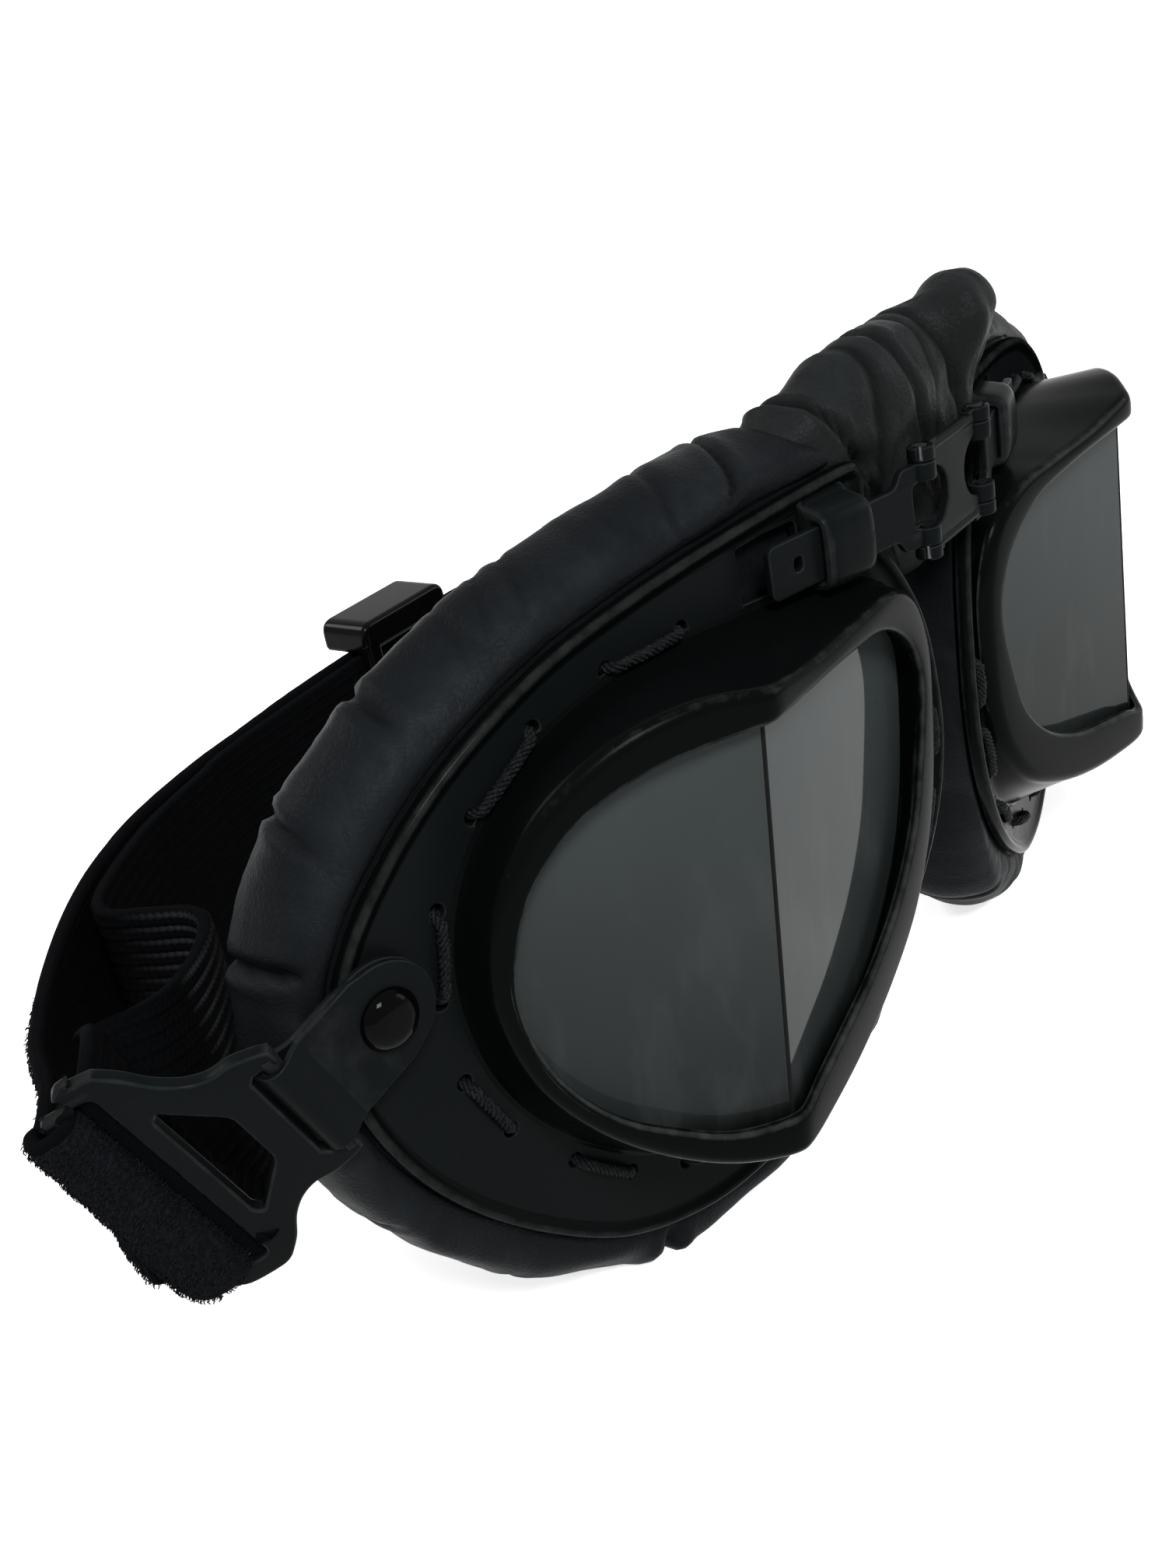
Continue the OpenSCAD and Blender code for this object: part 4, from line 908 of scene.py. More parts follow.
# pinched places: [station, depth, half width, lean, where round the section it starts]
padNicks = {"right": [[16.15, 0.9, 0.5, 0.05, 6.0], [15.1, 1.0, 0.45, 0.06, 6.2], [14.0, 1.2, 0.6, -0.05, 5.4],
                      [7.7, 1.9, 0.8, 0.02, 4.2], [19.8, 0.9, 0.5, 0.14, 4.4], [19.1, 0.4, 0.6, 0.1, 5.0],
                      [17.5, 0.3, 0.4, 0.12, 5.2], [17.2, 0.26, 0.35, 0.16, 5.6], [16.9, 0.24, 0.4, 0.09, 5.4],
                      [11.2, 0.8, 0.5, 0.04, 6.0], [3.2, 0.9, 0.6, 0.03, 5.6], [9.4, 0.5, 0.5, -0.05, 6.2]],
            "left": [[15.2, 1.0, 0.6, 0.02, 5.4], [13.0, 1.2, 0.6, -0.02, 5.8], [8.1, 1.6, 0.7, 0.0, 4.8],
                     [5.6, 1.4, 0.7, 0.03, 5.0], [4.3, 1.0, 0.6, 0.02, 5.4], [17.1, 0.4, 0.5, 0.1, 5.4],
                     [10.4, 0.7, 0.5, 0.05, 6.0]]}


def padShares(edge, flank=0):  # how flat the pad is toward the nose, and what is left of its full section
    s = padSizes
    flat = np.clip((edge[:, 0] - s["flatFrom"]) / s["flatOver"], 0, 1)
    up = np.clip((edge[:, 1] - s["upFrom"]) / s["upOver"], 0, 1)
    return flat, 1 - s["flatLess"] * flat - (s["upLess"] * up + s["flankLess"] * flank) * (1 - flat)


def padGrid(section, steps):
    s, inner, edge = padSizes, closedCurve(lensEdge, steps), closedCurve(padEdge, steps)
    out = outward(edge)
    flat, share = padShares(edge, np.clip((-edge[:, 0] - s["flankFrom"]) / s["flankOver"], 0, 1))
    layers = []
    for a, d, w in section:
        p = inner + a * (edge - inner) + (d * share)[:, None] * out
        p[:, 0] += s["flatBack"] * flat * min(w, 0) * a
        lift = np.where(w > -0.3, w * (1 - flat) - 0.36 * flat, w)
        layers.append(columns(p, lift))
    return np.stack(layers, axis=1)


def finerRound(grid, steps):  # more points round the section
    return np.swapaxes(closedCurve(np.swapaxes(grid, 0, 1), steps), 0, 1)


def outwardNormals(grid, closedAlong=True):
    a = np.roll(grid, -1, 0) - np.roll(grid, 1, 0) if closedAlong else np.gradient(grid, axis=0)
    n = np.cross(a, np.roll(grid, -1, 1) - np.roll(grid, 1, 1))
    n /= np.maximum(np.linalg.norm(n, axis=2), 1e-12)[:, :, None]
    middle = grid.mean(axis=1, keepdims=True)
    return n if ((grid - middle) * n).sum() > 0 else -n


def swollen(grid, free, limit):  # cloth blown up a little from a closed shape, by grid, in metres
    obj = makeMesh("padCloth", grid.reshape(-1, 3), ringFaces(*grid.shape[:2]), 0, False)
    held = obj.vertex_groups.new(name="held")
    for i, weight in enumerate((1 - free).ravel()):
        held.add([i], float(weight), "REPLACE")
    cloth = obj.modifiers.new("cloth", "CLOTH")
    for key, value in clothSettings.items():
        setattr(cloth.settings, key, value)
    cloth.settings.effector_weights.gravity = 0
    cloth.point_cache.frame_start, cloth.point_cache.frame_end = 1, clothSteps
    for step in range(1, clothSteps + 1):
        bpy.context.scene.frame_set(step)
    bake(obj)
    bpy.context.scene.frame_set(1)
    blown = np.empty(len(obj.data.vertices) * 3, np.float32)
    obj.data.vertices.foreach_get("co", blown)
    bpy.data.objects.remove(obj)
    move = blown.reshape(grid.shape) - grid
    far = np.linalg.norm(move, axis=2)
    move *= (np.minimum(far, limit * mm) / np.maximum(far, 1e-9))[:, :, None]
    for axis in (0, 1) * 3:  # evened out over the neighbours
        move = (2 * move + np.roll(move, 1, axis) + np.roll(move, -1, axis)) / 4
    return grid + move


def cloudAt(points, size, octaves, seed):  # smooth noise, -1 to 1, at points in mm
    shift = Vector((seed, seed * 0.7, -seed))
    flat = np.asarray(points, float).reshape(-1, 3) / size
    values = [noise.fractal(Vector(p) + shift, 0.6, 2.0, octaves) for p in flat]
    return np.array(values).reshape(np.shape(points)[:-1])


def makePad(side, sign, grid):
    s = padSizes
    count, stations, seed = grid.shape[:2], len(padEdge), s["seeds"][side]
    turn = np.arange(count[0])[:, None] / count[0] * stations  # station, in points of the pad's edge
    around = np.arange(count[1])[None, :] / count[1] * len(padSection)  # place round the section
    roll = within(around, *s["onRoll"])
    place = fromPart(grid.reshape(-1, 3), -1).reshape(grid.shape)
    thin = 1 - np.clip((place[:, :, 0] - s["thinFrom"]) / s["thinOver"], 0, 1) * s["thinLess"]
    arc = np.stack([turn * 11 + 0 * around, around * 1.3 + 0 * turn, 0 * turn + 0 * around], axis=2)  # in mm
    wave = cloudAt(arc * [1, 0.55, 1], s["waveSize"], 2, seed) * s["wave"]
    folds = np.abs(cloudAt(arc * [1, 0.22, 1], s["foldSize"], 3, seed + 5))
    folded = smoothStep((cloudAt(arc, s["foldedSize"], 2, seed + 9) + 0.35) / 0.6)
    folds = s["foldDeep"] * (0.45 - np.minimum(folds, 0.9)) * folded
    move, creaseShade = wave + folds, np.zeros(count)
    for at, depth, wide, lean, start in padNicks[side]:
        off = (turn - at - lean * (around - 7.5) + stations / 2) % stations - stations / 2
        off *= s["pitch"]
        here = bump(off, 0, wide) * within(around, start, 1.6, 11.5, 1.6)
        puff = bump(np.abs(off), wide * 2.6, wide * 1.7) * within(around, start - 0.2, 2, 12, 2)
        move += 0.3 * depth * puff - depth * here
        creaseShade = np.maximum(creaseShade, here * min(1, 0.9 * depth))
    grid = grid + outwardNormals(grid) * (move * roll * thin)[:, :, None] * mm
    place = fromPart(grid.reshape(-1, 3), -1).reshape(grid.shape)
    onPlate = signedInside(place[:, :, :2].reshape(-1, 2), closedCurve(plateEdge, 3)).reshape(count) > -0.25
    place[:, :, 2] = np.minimum(place[:, :, 2], np.where(onPlate, -s["under"], s["proud"]))
    place[:, :, 1] = np.maximum(place[:, :, 1], -placing["floorZ"] + 0.02)
    pad = makeMesh("eyePad_" + side, toPart(place.reshape(-1, 3), sign), ringFaces(*count), 0, False)
    # painted shade in the nicks and in the hollows of the folds
    storeValues(pad, "creaseShade", np.clip(creaseShade + np.clip(-folds * 2.5, 0, 0.3), 0, 1))
    # painted sheen along the crown of the roll, broken up in patches
    sheenPatches = smoothStep((cloudAt(arc * [0.5, 1, 1], 12, 3, seed + 2) + 0.6) / 0.9)
    storeValues(pad, "crown", bump(around, s["sheenAt"], s["crownWide"]) * (1 - creaseShade) * sheenPatches)
    pad.data.materials.append(finishes["leather"])
    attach(pad, "eyepiece_" + side)
    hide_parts("eye_pad_" + side)


for side, sign in sides.items():
    coarse = finerRound(padGrid(padSection, padSizes["stations"]), 3)
    padShape = toPart(coarse.reshape(-1, 3)).reshape(coarse.shape)
    around = np.arange(coarse.shape[1])[None, :] / coarse.shape[1] * len(padSection)
    free = within(around, *padSizes["freeCloth"])
    free = free * (1 - np.clip((coarse[:, :, 0] - padSizes["flatFrom"]) / 10, 0, 1) * 0.85)
    padShape = swollen(padShape, free, padSizes["swell"])
    print("pad swollen:", side)
    makePad(side, sign, finerRound(closedCurve(padShape, 3), 2))
print("pads done")


# nose roll
noseSizes = {"top": 46, "deep": 12.6, "crown": 1.6, "capFrom": 10.2, "capHigh": 1.0, "capForward": 3.4,
             "pitX": -12.0, "pitZ": 34.5, "pitDeep": 1.5, "round": 96, "square": 2.4, "wave": 0.7,
             "foldDeep": 0.24, "push": 1.1, "crownX": 1.5, "crownWide": 7, "tuckFrom": 18.5, "tuckOver": 5,
             "capOver": 3, "capFromZ": 35, "crownFromZ": 36, "foldFromZ": 22, "overZ": 8, "waveSize": 9,
             "foldSize": 3.4, "pitWide": 1.9, "pitHigh": 1.5, "endRings": 6}
# folds across the roll: [x, depth, half width, lean]
noseCreases = [[-14.5, 0.9, 0.45, 0.35], [-7.6, 0.35, 0.8, -0.3], [-1.4, 0.6, 0.6, 0.16],
               [4.6, 0.3, 0.6, -0.15], [9.2, 0.9, 0.7, 0.16]]
# the roll's sections: [x, front, depth, bottom, drop of the top]
noseRows = [[-19.8, -4.8, 7, 34, 8.2], [-18, -6.2, 9.4, 31, 6.4], [-15, -8.2, 11.4, 26.5, 4.2],
            [-9, -10, 12.6, 20.5, 1.7], [-3, -10.8, 12.6, 17.4, 1.7], [3, -10.8, 12.6, 17.4, 2.3],
            [9, -10, 12.6, 20.5, 1.7], [14.5, -9.6, 11.4, 26.5, -0.6], [17.6, -9, 10.6, 31, -0.8],
            [20, -8, 8.6, 34, 0.6]]
# how far the pad stands out from its edge, by depth behind the plate
padReach = [[-3, -0.5, 0.2, 1.2, 3.8, 6.7, 10.2, 14, 16, 18], [0.3, 0.9, 2.2, 4.6, 6.8, 7.5, 6.7, 3.7, 0, -6]]


def noseGrid():
    s = noseSizes
    count, power = s["round"], s["square"]
    angles = np.arange(count) * 2 * math.pi / count
    c, n = np.cos(angles), np.sin(angles)
    square = 1 / (np.abs(c) ** power + np.abs(n) ** power) ** (1 / power)
    grid = []
    for x, front, deep, bottom, drop in openCurve(noseRows, 8):
        half, d = (s["top"] - drop - bottom) / 2, deep * s["deep"] / 25
        grid.append(columns(np.full(count, x), front + d - d * c * square,
                            bottom + half + half * n * square))
    grid = np.array(grid)
    for end, inward in ((0, 1), (-1, -1)):  # close the ends in a small dome
        middle = grid[end].mean(axis=0)
        rings = [middle + (grid[end] - middle) * k + [-inward * x, 0, 0] for k, x in
                 ((0.93, 0.5), (0.75, 1.1), (0.45, 1.6), (0.15, 1.8), (0.01, 1.82))]
        grid = np.concatenate([rings[::-1], grid] if end == 0 else [grid, rings])
    return grid


def clearOfPads(points, layer=0.8):  # pushes points that are in an eyepiece's space out past its outline
    edge = closedCurve(padEdge, 4)
    flat, share = padShares(edge)
    for sign in (-1, 1):
        place = fromPart(points, sign)
        for low in np.arange(-20, 3, layer):
            band = (place[:, 2] >= low) & (place[:, 2] < low + layer)
            if not band.any():
                continue
            w = low + layer / 2
            loop = edge + ((np.interp(-w, *padReach) + 0.8) * share + 0.45)[:, None] * outward(edge)
            loop[:, 0] += padSizes["flatBack"] * flat * min(w, 0)
            if w > -0.6:
                loop = grown(closedCurve(plateEdge, 4), 0.5)
            p = place[band][:, :2]
            for _ in range(3):
                bad = signedInside(p, loop) > 0
                if not bad.any():
                    break
                a = loop[None, :, :] - p[bad][:, None, :]
                best = np.argmin((a ** 2).sum(axis=2), axis=1)
                p[bad] = loop[best] + 0.02 * outward(loop)[best]
            place[band] = columns(p, place[band][:, 2])
        points = toPart(place, sign)
    return points


def makeNoseRoll():
    s = noseSizes
    grid = noseGrid()
    count = grid.shape[:2]
    x, z = grid[:, :, 0].copy(), grid[:, :, 2].copy()
    cap = smoothStep((x - s["capFrom"]) / s["capOver"]) * smoothStep((z - s["capFromZ"]) / s["overZ"])
    crown = bump(x, s["crownX"], s["crownWide"]) * smoothStep((z - s["crownFromZ"]) / s["overZ"])
    grid[:, :, 2] += s["crown"] * crown + s["capHigh"] * cap
    grid[:, :, 1] -= s["capForward"] * cap
    away = outwardNormals(grid, False)
    folds = np.minimum(np.abs(cloudAt(grid * [1.0, 0.4, 0.3], s["foldSize"], 3, 8.0)), 0.8)
    move = cloudAt(grid, s["waveSize"], 2, 2.0) * s["wave"] + s["foldDeep"] * (0.4 - folds)
    creaseShade = np.zeros(count)
    for at, depth, wide, lean in noseCreases:
        across = x + lean * (z - 40)
        here = bump(across, at, wide) * smoothStep((z - s["foldFromZ"]) / s["overZ"])
        move += 0.35 * depth * bump(np.abs(across - at), 2.4 * wide, 1.3 * wide) - depth * here
        creaseShade = np.maximum(creaseShade, here)
    pit = bump(x, s["pitX"], s["pitWide"]) * bump(z, s["pitZ"], s["pitHigh"])
    move -= s["pitDeep"] * pit
    # the pit also gets painted shade
    creaseShade = np.maximum(creaseShade, pit)
    move *= within(np.arange(count[0])[:, None], 0, s["endRings"], count[0] - 1, s["endRings"])
    grid = grid + away * move[:, :, None]
    free = middleToPart(grid.reshape(-1, 3))
    push = (clearOfPads(free) - free).reshape(grid.shape)
    for _ in range(7):  # the push is evened out over the neighbours
        push = (push + np.roll(push, 1, 1) + np.roll(push, -1, 1)) / 3
        push[1:-1] = (push[:-2] + push[1:-1] + push[2:]) / 3
    ends = smoothStep((s["tuckFrom"] - np.abs(x)) / s["tuckOver"])  # the ends go in under the pads
    grid = free.reshape(grid.shape) + s["push"] * push * ends[:, :, None]
    normals = outwardNormals(grid, False)
    middle = count[0] // 2
    for side, sign, rows in (("right", -1, slice(0, middle + 1)), ("left", 1, slice(middle, count[0]))):
        part = grid[rows]
        half = makeMesh("noseRoll_" + side, part.reshape(-1, 3), ringFaces(*part.shape[:2], False, True),
                        0, False)
        half.data.normals_split_custom_set_from_vertices([tuple(n) for n in normals[rows].reshape(-1, 3)])
        # painted shade in the creases and the pit
        storeValues(half, "creaseShade", creaseShade[rows])
        # painted highlight on the faces turned toward the key lamp, kept off the creases
        lit = np.clip(normals[rows] @ np.array([-0.3, -0.5, 0.81]), 0, 1) ** 5
        storeValues(half, "crown", lit * (1 - creaseShade[rows]))
        half.data.materials.append(finishes["noseLeather"])
        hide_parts("nose_pad")
        "tongue_" + side
        sign * 0.002
        sign * 0.013
        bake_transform(half)


makeNoseRoll()
print("nose roll done")


# strap
strapSizes = {"wide": 25.0, "thick": 1.5, "back": 86.0, "half": 40.0, "drop": 3.4, "z": -6.5, "sliderX": -6.7,
              "ribs": 15, "ribHigh": 0.26, "steps": 7, "edge": 0.55, "fray": 0.07, "layerGap": 1.9,
              "fraySize": 2.4, "cupSize": 17, "cupFrom": 14, "cupOver": 12, "spreadTo": 5, "spreadOver": 8}
# where each blend of a side run starts and ends, from the buckle to the back
sideBlends = [[(-99.5, 28, -5.8), (-88.4, 45.8, -6.5)], [(-86, 48.4, -6.5), (-74.6, 57.4, -6.5)],
              [(-72.4, 58.6, -6.5), (-59.6, 64.6, -6.5)], [(-57, 65.4, -6.5), (-43, 68.6, -6.5)]]
returnBlends = [[(-94.4, 24.6, -4), (-85.6, 31.8, -6)], [(-80, 35, -6.5), (-80, 43.4, -6.5)],
                [(-77, 45, -6.5), (-77, 53.6, -6.5)], [(-73, 55.4, -6.5), (-58, 62.4, -6.5)],
                [(-54, 63, -6.5), (-10, 70, -6.5)]]


def backY(x):
    s = strapSizes
    return hingeY + s["back"] - s["drop"] * x * x / s["half"] ** 2


# a station of a strap is its middle and the way across, from the buckle's axes or the middle's
def tuck(q, n, a=0.0, b=0.0):
    spots = bucklePlace(np.array([[q, 0, n], [0, 0, 0], [0, 1, 0], [1, 0, 0], [0, 0, 1]], float), -1)
    bar, along, up = [(spots[i] - spots[1]) / mm for i in (2, 3, 4)]
    wide = bar + a * along + b * up
    return [*spots[0], *(wide / np.linalg.norm(wide))]


def spot(x, y, z=strapSizes["z"], wide=(0, 0, -1)):
    return [*middleToPart([[x, y, z]])[0], *wide]


def ribbon(rows):  # middle, across and up at each station of a strap, and the length so far in mm
    path = openCurve(rows, strapSizes["steps"])
    mid, wide = path[:, :3], path[:, 3:]
    t = np.gradient(mid, axis=0)
    t /= np.linalg.norm(t, axis=1)[:, None]
    wide = wide - t * (wide * t).sum(axis=1)[:, None]
    wide /= np.linalg.norm(wide, axis=1)[:, None]
    far = np.concatenate([[0], np.cumsum(np.linalg.norm(np.diff(mid, axis=0), axis=1))]) / mm
    return mid, wide, np.cross(t, wide), far


def strapSection(ribs):  # [across, up], with ribs on the upper and lower faces that have them
    s = strapSizes
    half, thick, count = s["wide"] / 2, s["thick"] / 2, s["ribs"] * 4 + 1
    across = np.linspace(s["edge"] - half, half - s["edge"], count)
    phase = np.linspace(0, s["ribs"], count)
    ribbed = (np.abs(np.sin(math.pi * phase)) ** 0.6 - 0.55) * s["ribHigh"]
    lifts = [ribbed if ribs[i] else 0.05 * np.sin(phase * 2.2) for i in (0, 1)]
    edge = [(half - 0.32, thick + 0.02), (half - 0.1, thick - 0.22), (half, thick - 0.5), (half, 0.5 - thick),
            (half - 0.1, 0.22 - thick), (half - 0.32, -thick - 0.02)]
    upper = list(zip(across, thick + lifts[0])) + edge
    lower = list(zip(across, -thick - lifts[1]))[::-1]
    return np.array(upper + lower + [(-a, -b) for a, b in edge])


def strapPieces(name, rows, cuts, bodies, blends, node, ribs, faceFinishes, sign=-1, wobble=0.3, spread=0.0):
    s = strapSizes
    mid, wide, up, far = ribbon(rows)
    print(name, "length in mm:", round(float(far[-1]), 1))
    section = strapSection(ribs)
    across, count, steps = section[:, 0], len(section), s["steps"]
    seed = len(name) * 1.7
    sway = cloudAt(columns(far, far * 0, far * 0), s["cupSize"], 2, seed)
    fray = cloudAt(columns(far, far * 0 + 7, far * 0), s["fraySize"], 2, seed)
    outer = np.sign(across) * (np.abs(across) > s["wide"] / 2 - 0.5)
    grid = []
    for k in range(len(mid)):
        a = across * mm * (1 + spread * (1 - smoothStep((far[k] - s["spreadTo"]) / s["spreadOver"])))
        cup = wobble * mm * sway[k] * (1 - (across / (s["wide"] / 2)) ** 2)
        cup *= smoothStep((far[k] - s["cupFrom"]) / s["cupOver"])
        edge = s["fray"] * mm * fray[k] * outer
        grid.append(mid[k] + (a + edge)[:, None] * wide[k] + (section[:, 1] * mm + cup)[:, None] * up[k])
    grid = np.array(grid)
    normals = outwardNormals(grid, False)
    if sign > 0:
        grid[:, :, 0] *= -1
        normals[:, :, 0] *= -1
    for part, (a, b) in enumerate(bodies):
        start, end = [int(round(cut * steps)) for cut in cuts[part:part + 2]]
        rings = grid[start:end + 1]
        n = len(rings)
        own = n * count
        points = np.concatenate([rings.reshape(-1, 3), rings[0], rings[-1]])  # closed at its ends
        faces = ringFaces(n, count, False)
        faces += [tuple(own + i for i in range(count))[::-1], tuple(own + count + i for i in range(count))]
        uv = np.zeros((len(points), 2))
        uv[:own, 0] = np.tile(across, n)
        uv[:own, 1] = np.repeat(far[start:end + 1], count)
        piece = makeMesh(f"{name}_{part + 1}", points, faces, 0, False, uv)
        ends = [grid[i].mean(0) - grid[j].mean(0) for i, j in ((start, start + 1), (end, end - 1))]
        shade = np.concatenate([normals[start:end + 1].reshape(-1, 3),
                                *(np.tile(way, (count, 1)) for way in ends)])
        shade /= np.linalg.norm(shade, axis=1)[:, None]
        piece.data.normals_split_custom_set_from_vertices([tuple(v) for v in shade])
        for finish in faceFinishes:
            piece.data.materials.append(finishes[finish])
        index = np.zeros(len(faces), np.int32)
        index[:own - count] = np.tile((np.arange(count) >= count // 2 - 3).astype(int), n - 1)
        piece.data.polygons.foreach_set("material_index", index)
        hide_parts(node)
        if blends:
            first, last = [tuple(middleToPart([p], sign)[0]) for p in blends[part]]
            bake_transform(piece)
        else:
            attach(piece, a)


def sideRows():
    over, q = 0.8 + 0.75 + 0.3, 15.85
    return [tuck(q, -1.2), tuck(q, 0.6), tuck(q + 0.5, over - 0.2), tuck(q + 1.8, over + 0.1),
            tuck(q + 3.6, 1.7, 0.02), tuck(q + 5.1, -0.6, 0.08, 0.03), tuck(q + 5.7, -4.2, 0.25, 0.1),
            spot(-96.6, 36.2, -6.2, (0.08, 0, -1)), spot(-87.2, 47.2), spot(-75.8, 56.5), spot(-63.4, 63.4),
            spot(-50.4, backY(50.4) + 0.3), spot(-40, backY(40))]


def returnRows():
    q, gap = 14.25, strapSizes["layerGap"]
    return [tuck(q - 0.2, 0.2), tuck(q - 0.2, -1.4), tuck(q - 0.25, -3), tuck(13.7, -5.2),
            spot(-92, 26.4, -5.4, (0.26, -0.13, -0.96)), spot(-83.4, 30.2, -6.8, (0.12, -0.07, -0.99)),
            spot(-76.4, 35.8), spot(-74.3, 40.4), spot(-76.6, 45.8), spot(-78, 50.2), spot(-74, 54.6),
            spot(-62.4, 60.8), spot(-50.6, 64.6), spot(-40, backY(40) - gap), spot(-6.7, backY(6.7) - gap)]


for side, sign in sides.items():
    names = ["buckle_" + side, "tab_" + side, "eyepiece_" + side, "tongue_" + side, "bridge"]
    strapPieces("strapSide_" + side, sideRows(), [0, 8, 9.2, 10.4, 12], list(zip(names, names[1:])), sideBlends,
                "strap_side_" + side, (False, False), ("looped", "webbing"), sign, 0.3, 0.045)
backRows = [spot(x, backY(x)) for x in np.linspace(-40, 40, 9)]
strapPieces("strapBack", backRows, [0, 8], [("bridge", None)], None, "strap_back", (True, False),
            ("webbing", "webbing"), wobble=0.0)
names = ["buckle_right", "tab_right", "eyepiece_right", "tongue_right", "bridge", "slider"]
strapPieces("strapReturn", returnRows(), [0, 5, 7.5, 10, 12.5, 14], list(zip(names, names[1:])), returnBlends,
            "strap_return", (True, True), ("ribbed", "ribbed"), spread=0.055)
print("strap done")


# strap slider
sliderSizes = {"long": 17.5, "rail": 5.0, "thick": 1.8, "gap": 4.9, "bar": 3.2, "side": 3.0, "corner": 3.4,
               "railRound": 0.9, "barRound": 0.7, "behind": 0.95}


def softBox(low, high, r, corners=None):  # block with rounded edges, from its low and high corners
    (x0, y0, z0), (x1, y1, z1) = low, high
    outline = rounded(boxCorners(x0, z0, x1, z1), corners or r, 7)
    p, f = slab([outline], y1 - y0, min(r, (y1 - y0) * 0.45), 4)
    return middleToPart(columns(p[:, 0], (y0 + y1) / 2 - p[:, 2], p[:, 1])), f


def makeSlider():
    s = sliderSizes
    x, z, high = strapSizes["sliderX"], strapSizes["z"], strapSizes["wide"] / 2 + s["rail"]
    y = backY(x) - s["behind"]
    half, front, back = s["long"] / 2, y - s["gap"] / 2, y + s["gap"] / 2
    ends, side = [s["railRound"]] * 2 + [s["corner"]] * 2, s["side"] / 2
    parts = []
    for m in (-1, 1):
        middle, post = z + m * (high - s["rail"] / 2 + 0.3), x + m * (half - side)
        parts += [softBox((x - half, front - s["thick"], middle - s["rail"] / 2),
                          (x + half, back + s["thick"], middle + s["rail"] / 2 - 0.6),
                          s["railRound"], ends[::m]),
                  softBox((post - side, front - s["thick"], z - high + 3),
                          (post + side, front, z + high - 3), s["barRound"])]
    parts.append(softBox((x - s["bar"] / 2, back, z - high + 1),
                         (x + s["bar"] / 2, back + s["thick"], z + high - 1), s["barRound"]))
    slider = makeParts("strapSlider", parts)
    finishHard(slider, "slider", "slider", "strap_slider", wear=False)


makeSlider()
print("slider done")


# lacing and pile, by geometry nodes
cordSizes = {"strand": 0.29, "coil": 0.37, "strands": 5, "twist": 1900.0, "rise": 0.16, "step": 0.22,
             "fuzz": 0.36, "fuzzScale": 2600.0}
pileSizes = {"density": 1.0e7, "long": 0.46, "thin": 0.14, "seed": 11, "lean": 0.9, "from": 0.2, "to": 32.0}


def nodeTree(name, inputs):  # inputs as name and kind, and what each finds in the tree
    tree = bpy.data.node_groups.new(name, "GeometryNodeTree")
    tree.interface.new_socket("Geometry", in_out="OUTPUT", socket_type="NodeSocketGeometry")
    tree.interface.new_socket("Geometry", in_out="INPUT", socket_type="NodeSocketGeometry")
    keys = {label: tree.interface.new_socket(label, in_out="INPUT", socket_type="NodeSocket" + kind).identifier
            for label, kind in inputs.items()}
    p = Paint(name, tree)
    p.add("NodeGroupInput")
    return p, {s.name: Wire(p, s) for s in p.last.outputs if s.name}, keys


def endTree(p, shape, finish):
    shape = p.shape("RealizeInstances", Geometry=shape)
    shape = p.shape("SetMaterial", Geometry=shape, Material=finish)
    p.add("NodeGroupOutput", None, {"Geometry": shape})


def runTree(name, points, edges, faces, p, keys, values):
    mesh = bpy.data.meshes.new(name)
    mesh.from_pydata([tuple(v) for v in points], edges, faces)
    obj = linked(name, mesh)
    nodes = obj.modifiers.new(name, "NODES")
    nodes.node_group = p.tree
    for label, value in values.items():
        nodes[keys[label]] = value
    return bake(obj)


def ringCurve(p, sides, radius):
    return p.shape("CurvePrimitiveCircle", {"mode": "RADIUS"}, "Curve", Resolution=sides, Radius=radius)


def cordTree():
    s = cordSizes
    p, given, keys = nodeTree("twistedCord", {"Strand Radius": "Float", "Coil Radius": "Float",
                                              "Strands": "Int", "Twist": "Float", "Finish": "Material"})
    line = p.shape("MeshToCurve", Mesh=given["Geometry"])
    line = p.shape("ResampleCurve", {"mode": "LENGTH"}, Curve=line, Length=s["step"] * mm)
    far = p.shape("SplineParameter", out="Length")
    line = p.shape("SetCurveTilt", Curve=line, Tilt=far * given["Twist"])
    ring = p.shape("MeshCircle", Vertices=given["Strands"], Radius=given["Coil Radius"])
    many = p.shape("InstanceOnPoints", Points=ring, Instance=ringCurve(p, 7, given["Strand Radius"]))
    profile = p.shape("RealizeInstances", Geometry=many)
    tube = p.shape("CurveToMesh", Curve=line, Profile_Curve=profile, Fill_Caps=True)
    rough = p.add("ShaderNodeTexNoise", None, {"Vector": p.shape("InputPosition"), "Scale": s["fuzzScale"],
                                               "Detail": 2.0}, "Color")
    shift = p.vectors("SUBTRACT", {0: rough, 1: (0.5, 0.5, 0.5)})
    shift = p.vectors("SCALE", {0: shift, "Scale": s["fuzz"] * mm})
    endTree(p, p.shape("SetPosition", Geometry=tube, Offset=shift), given["Finish"])
    return p, keys


def stitchPath(a, b):
    a, b = np.array(a, float), np.array(b, float)
    long = np.linalg.norm(b - a)
    low = plateSizes["thick"] + 0.72
    down = [(0.3, -0.5), (0.35, 0.6), (0.6, 1.3), (1.15, low - 0.06), (2.3, low + 0.04)]
    path = openCurve(down + [(long / 2, low + cordSizes["rise"])] + [(long - u, w) for u, w in down[::-1]], 5)
    return columns(a + path[:, :1] * (b - a) / long, path[:, 1])


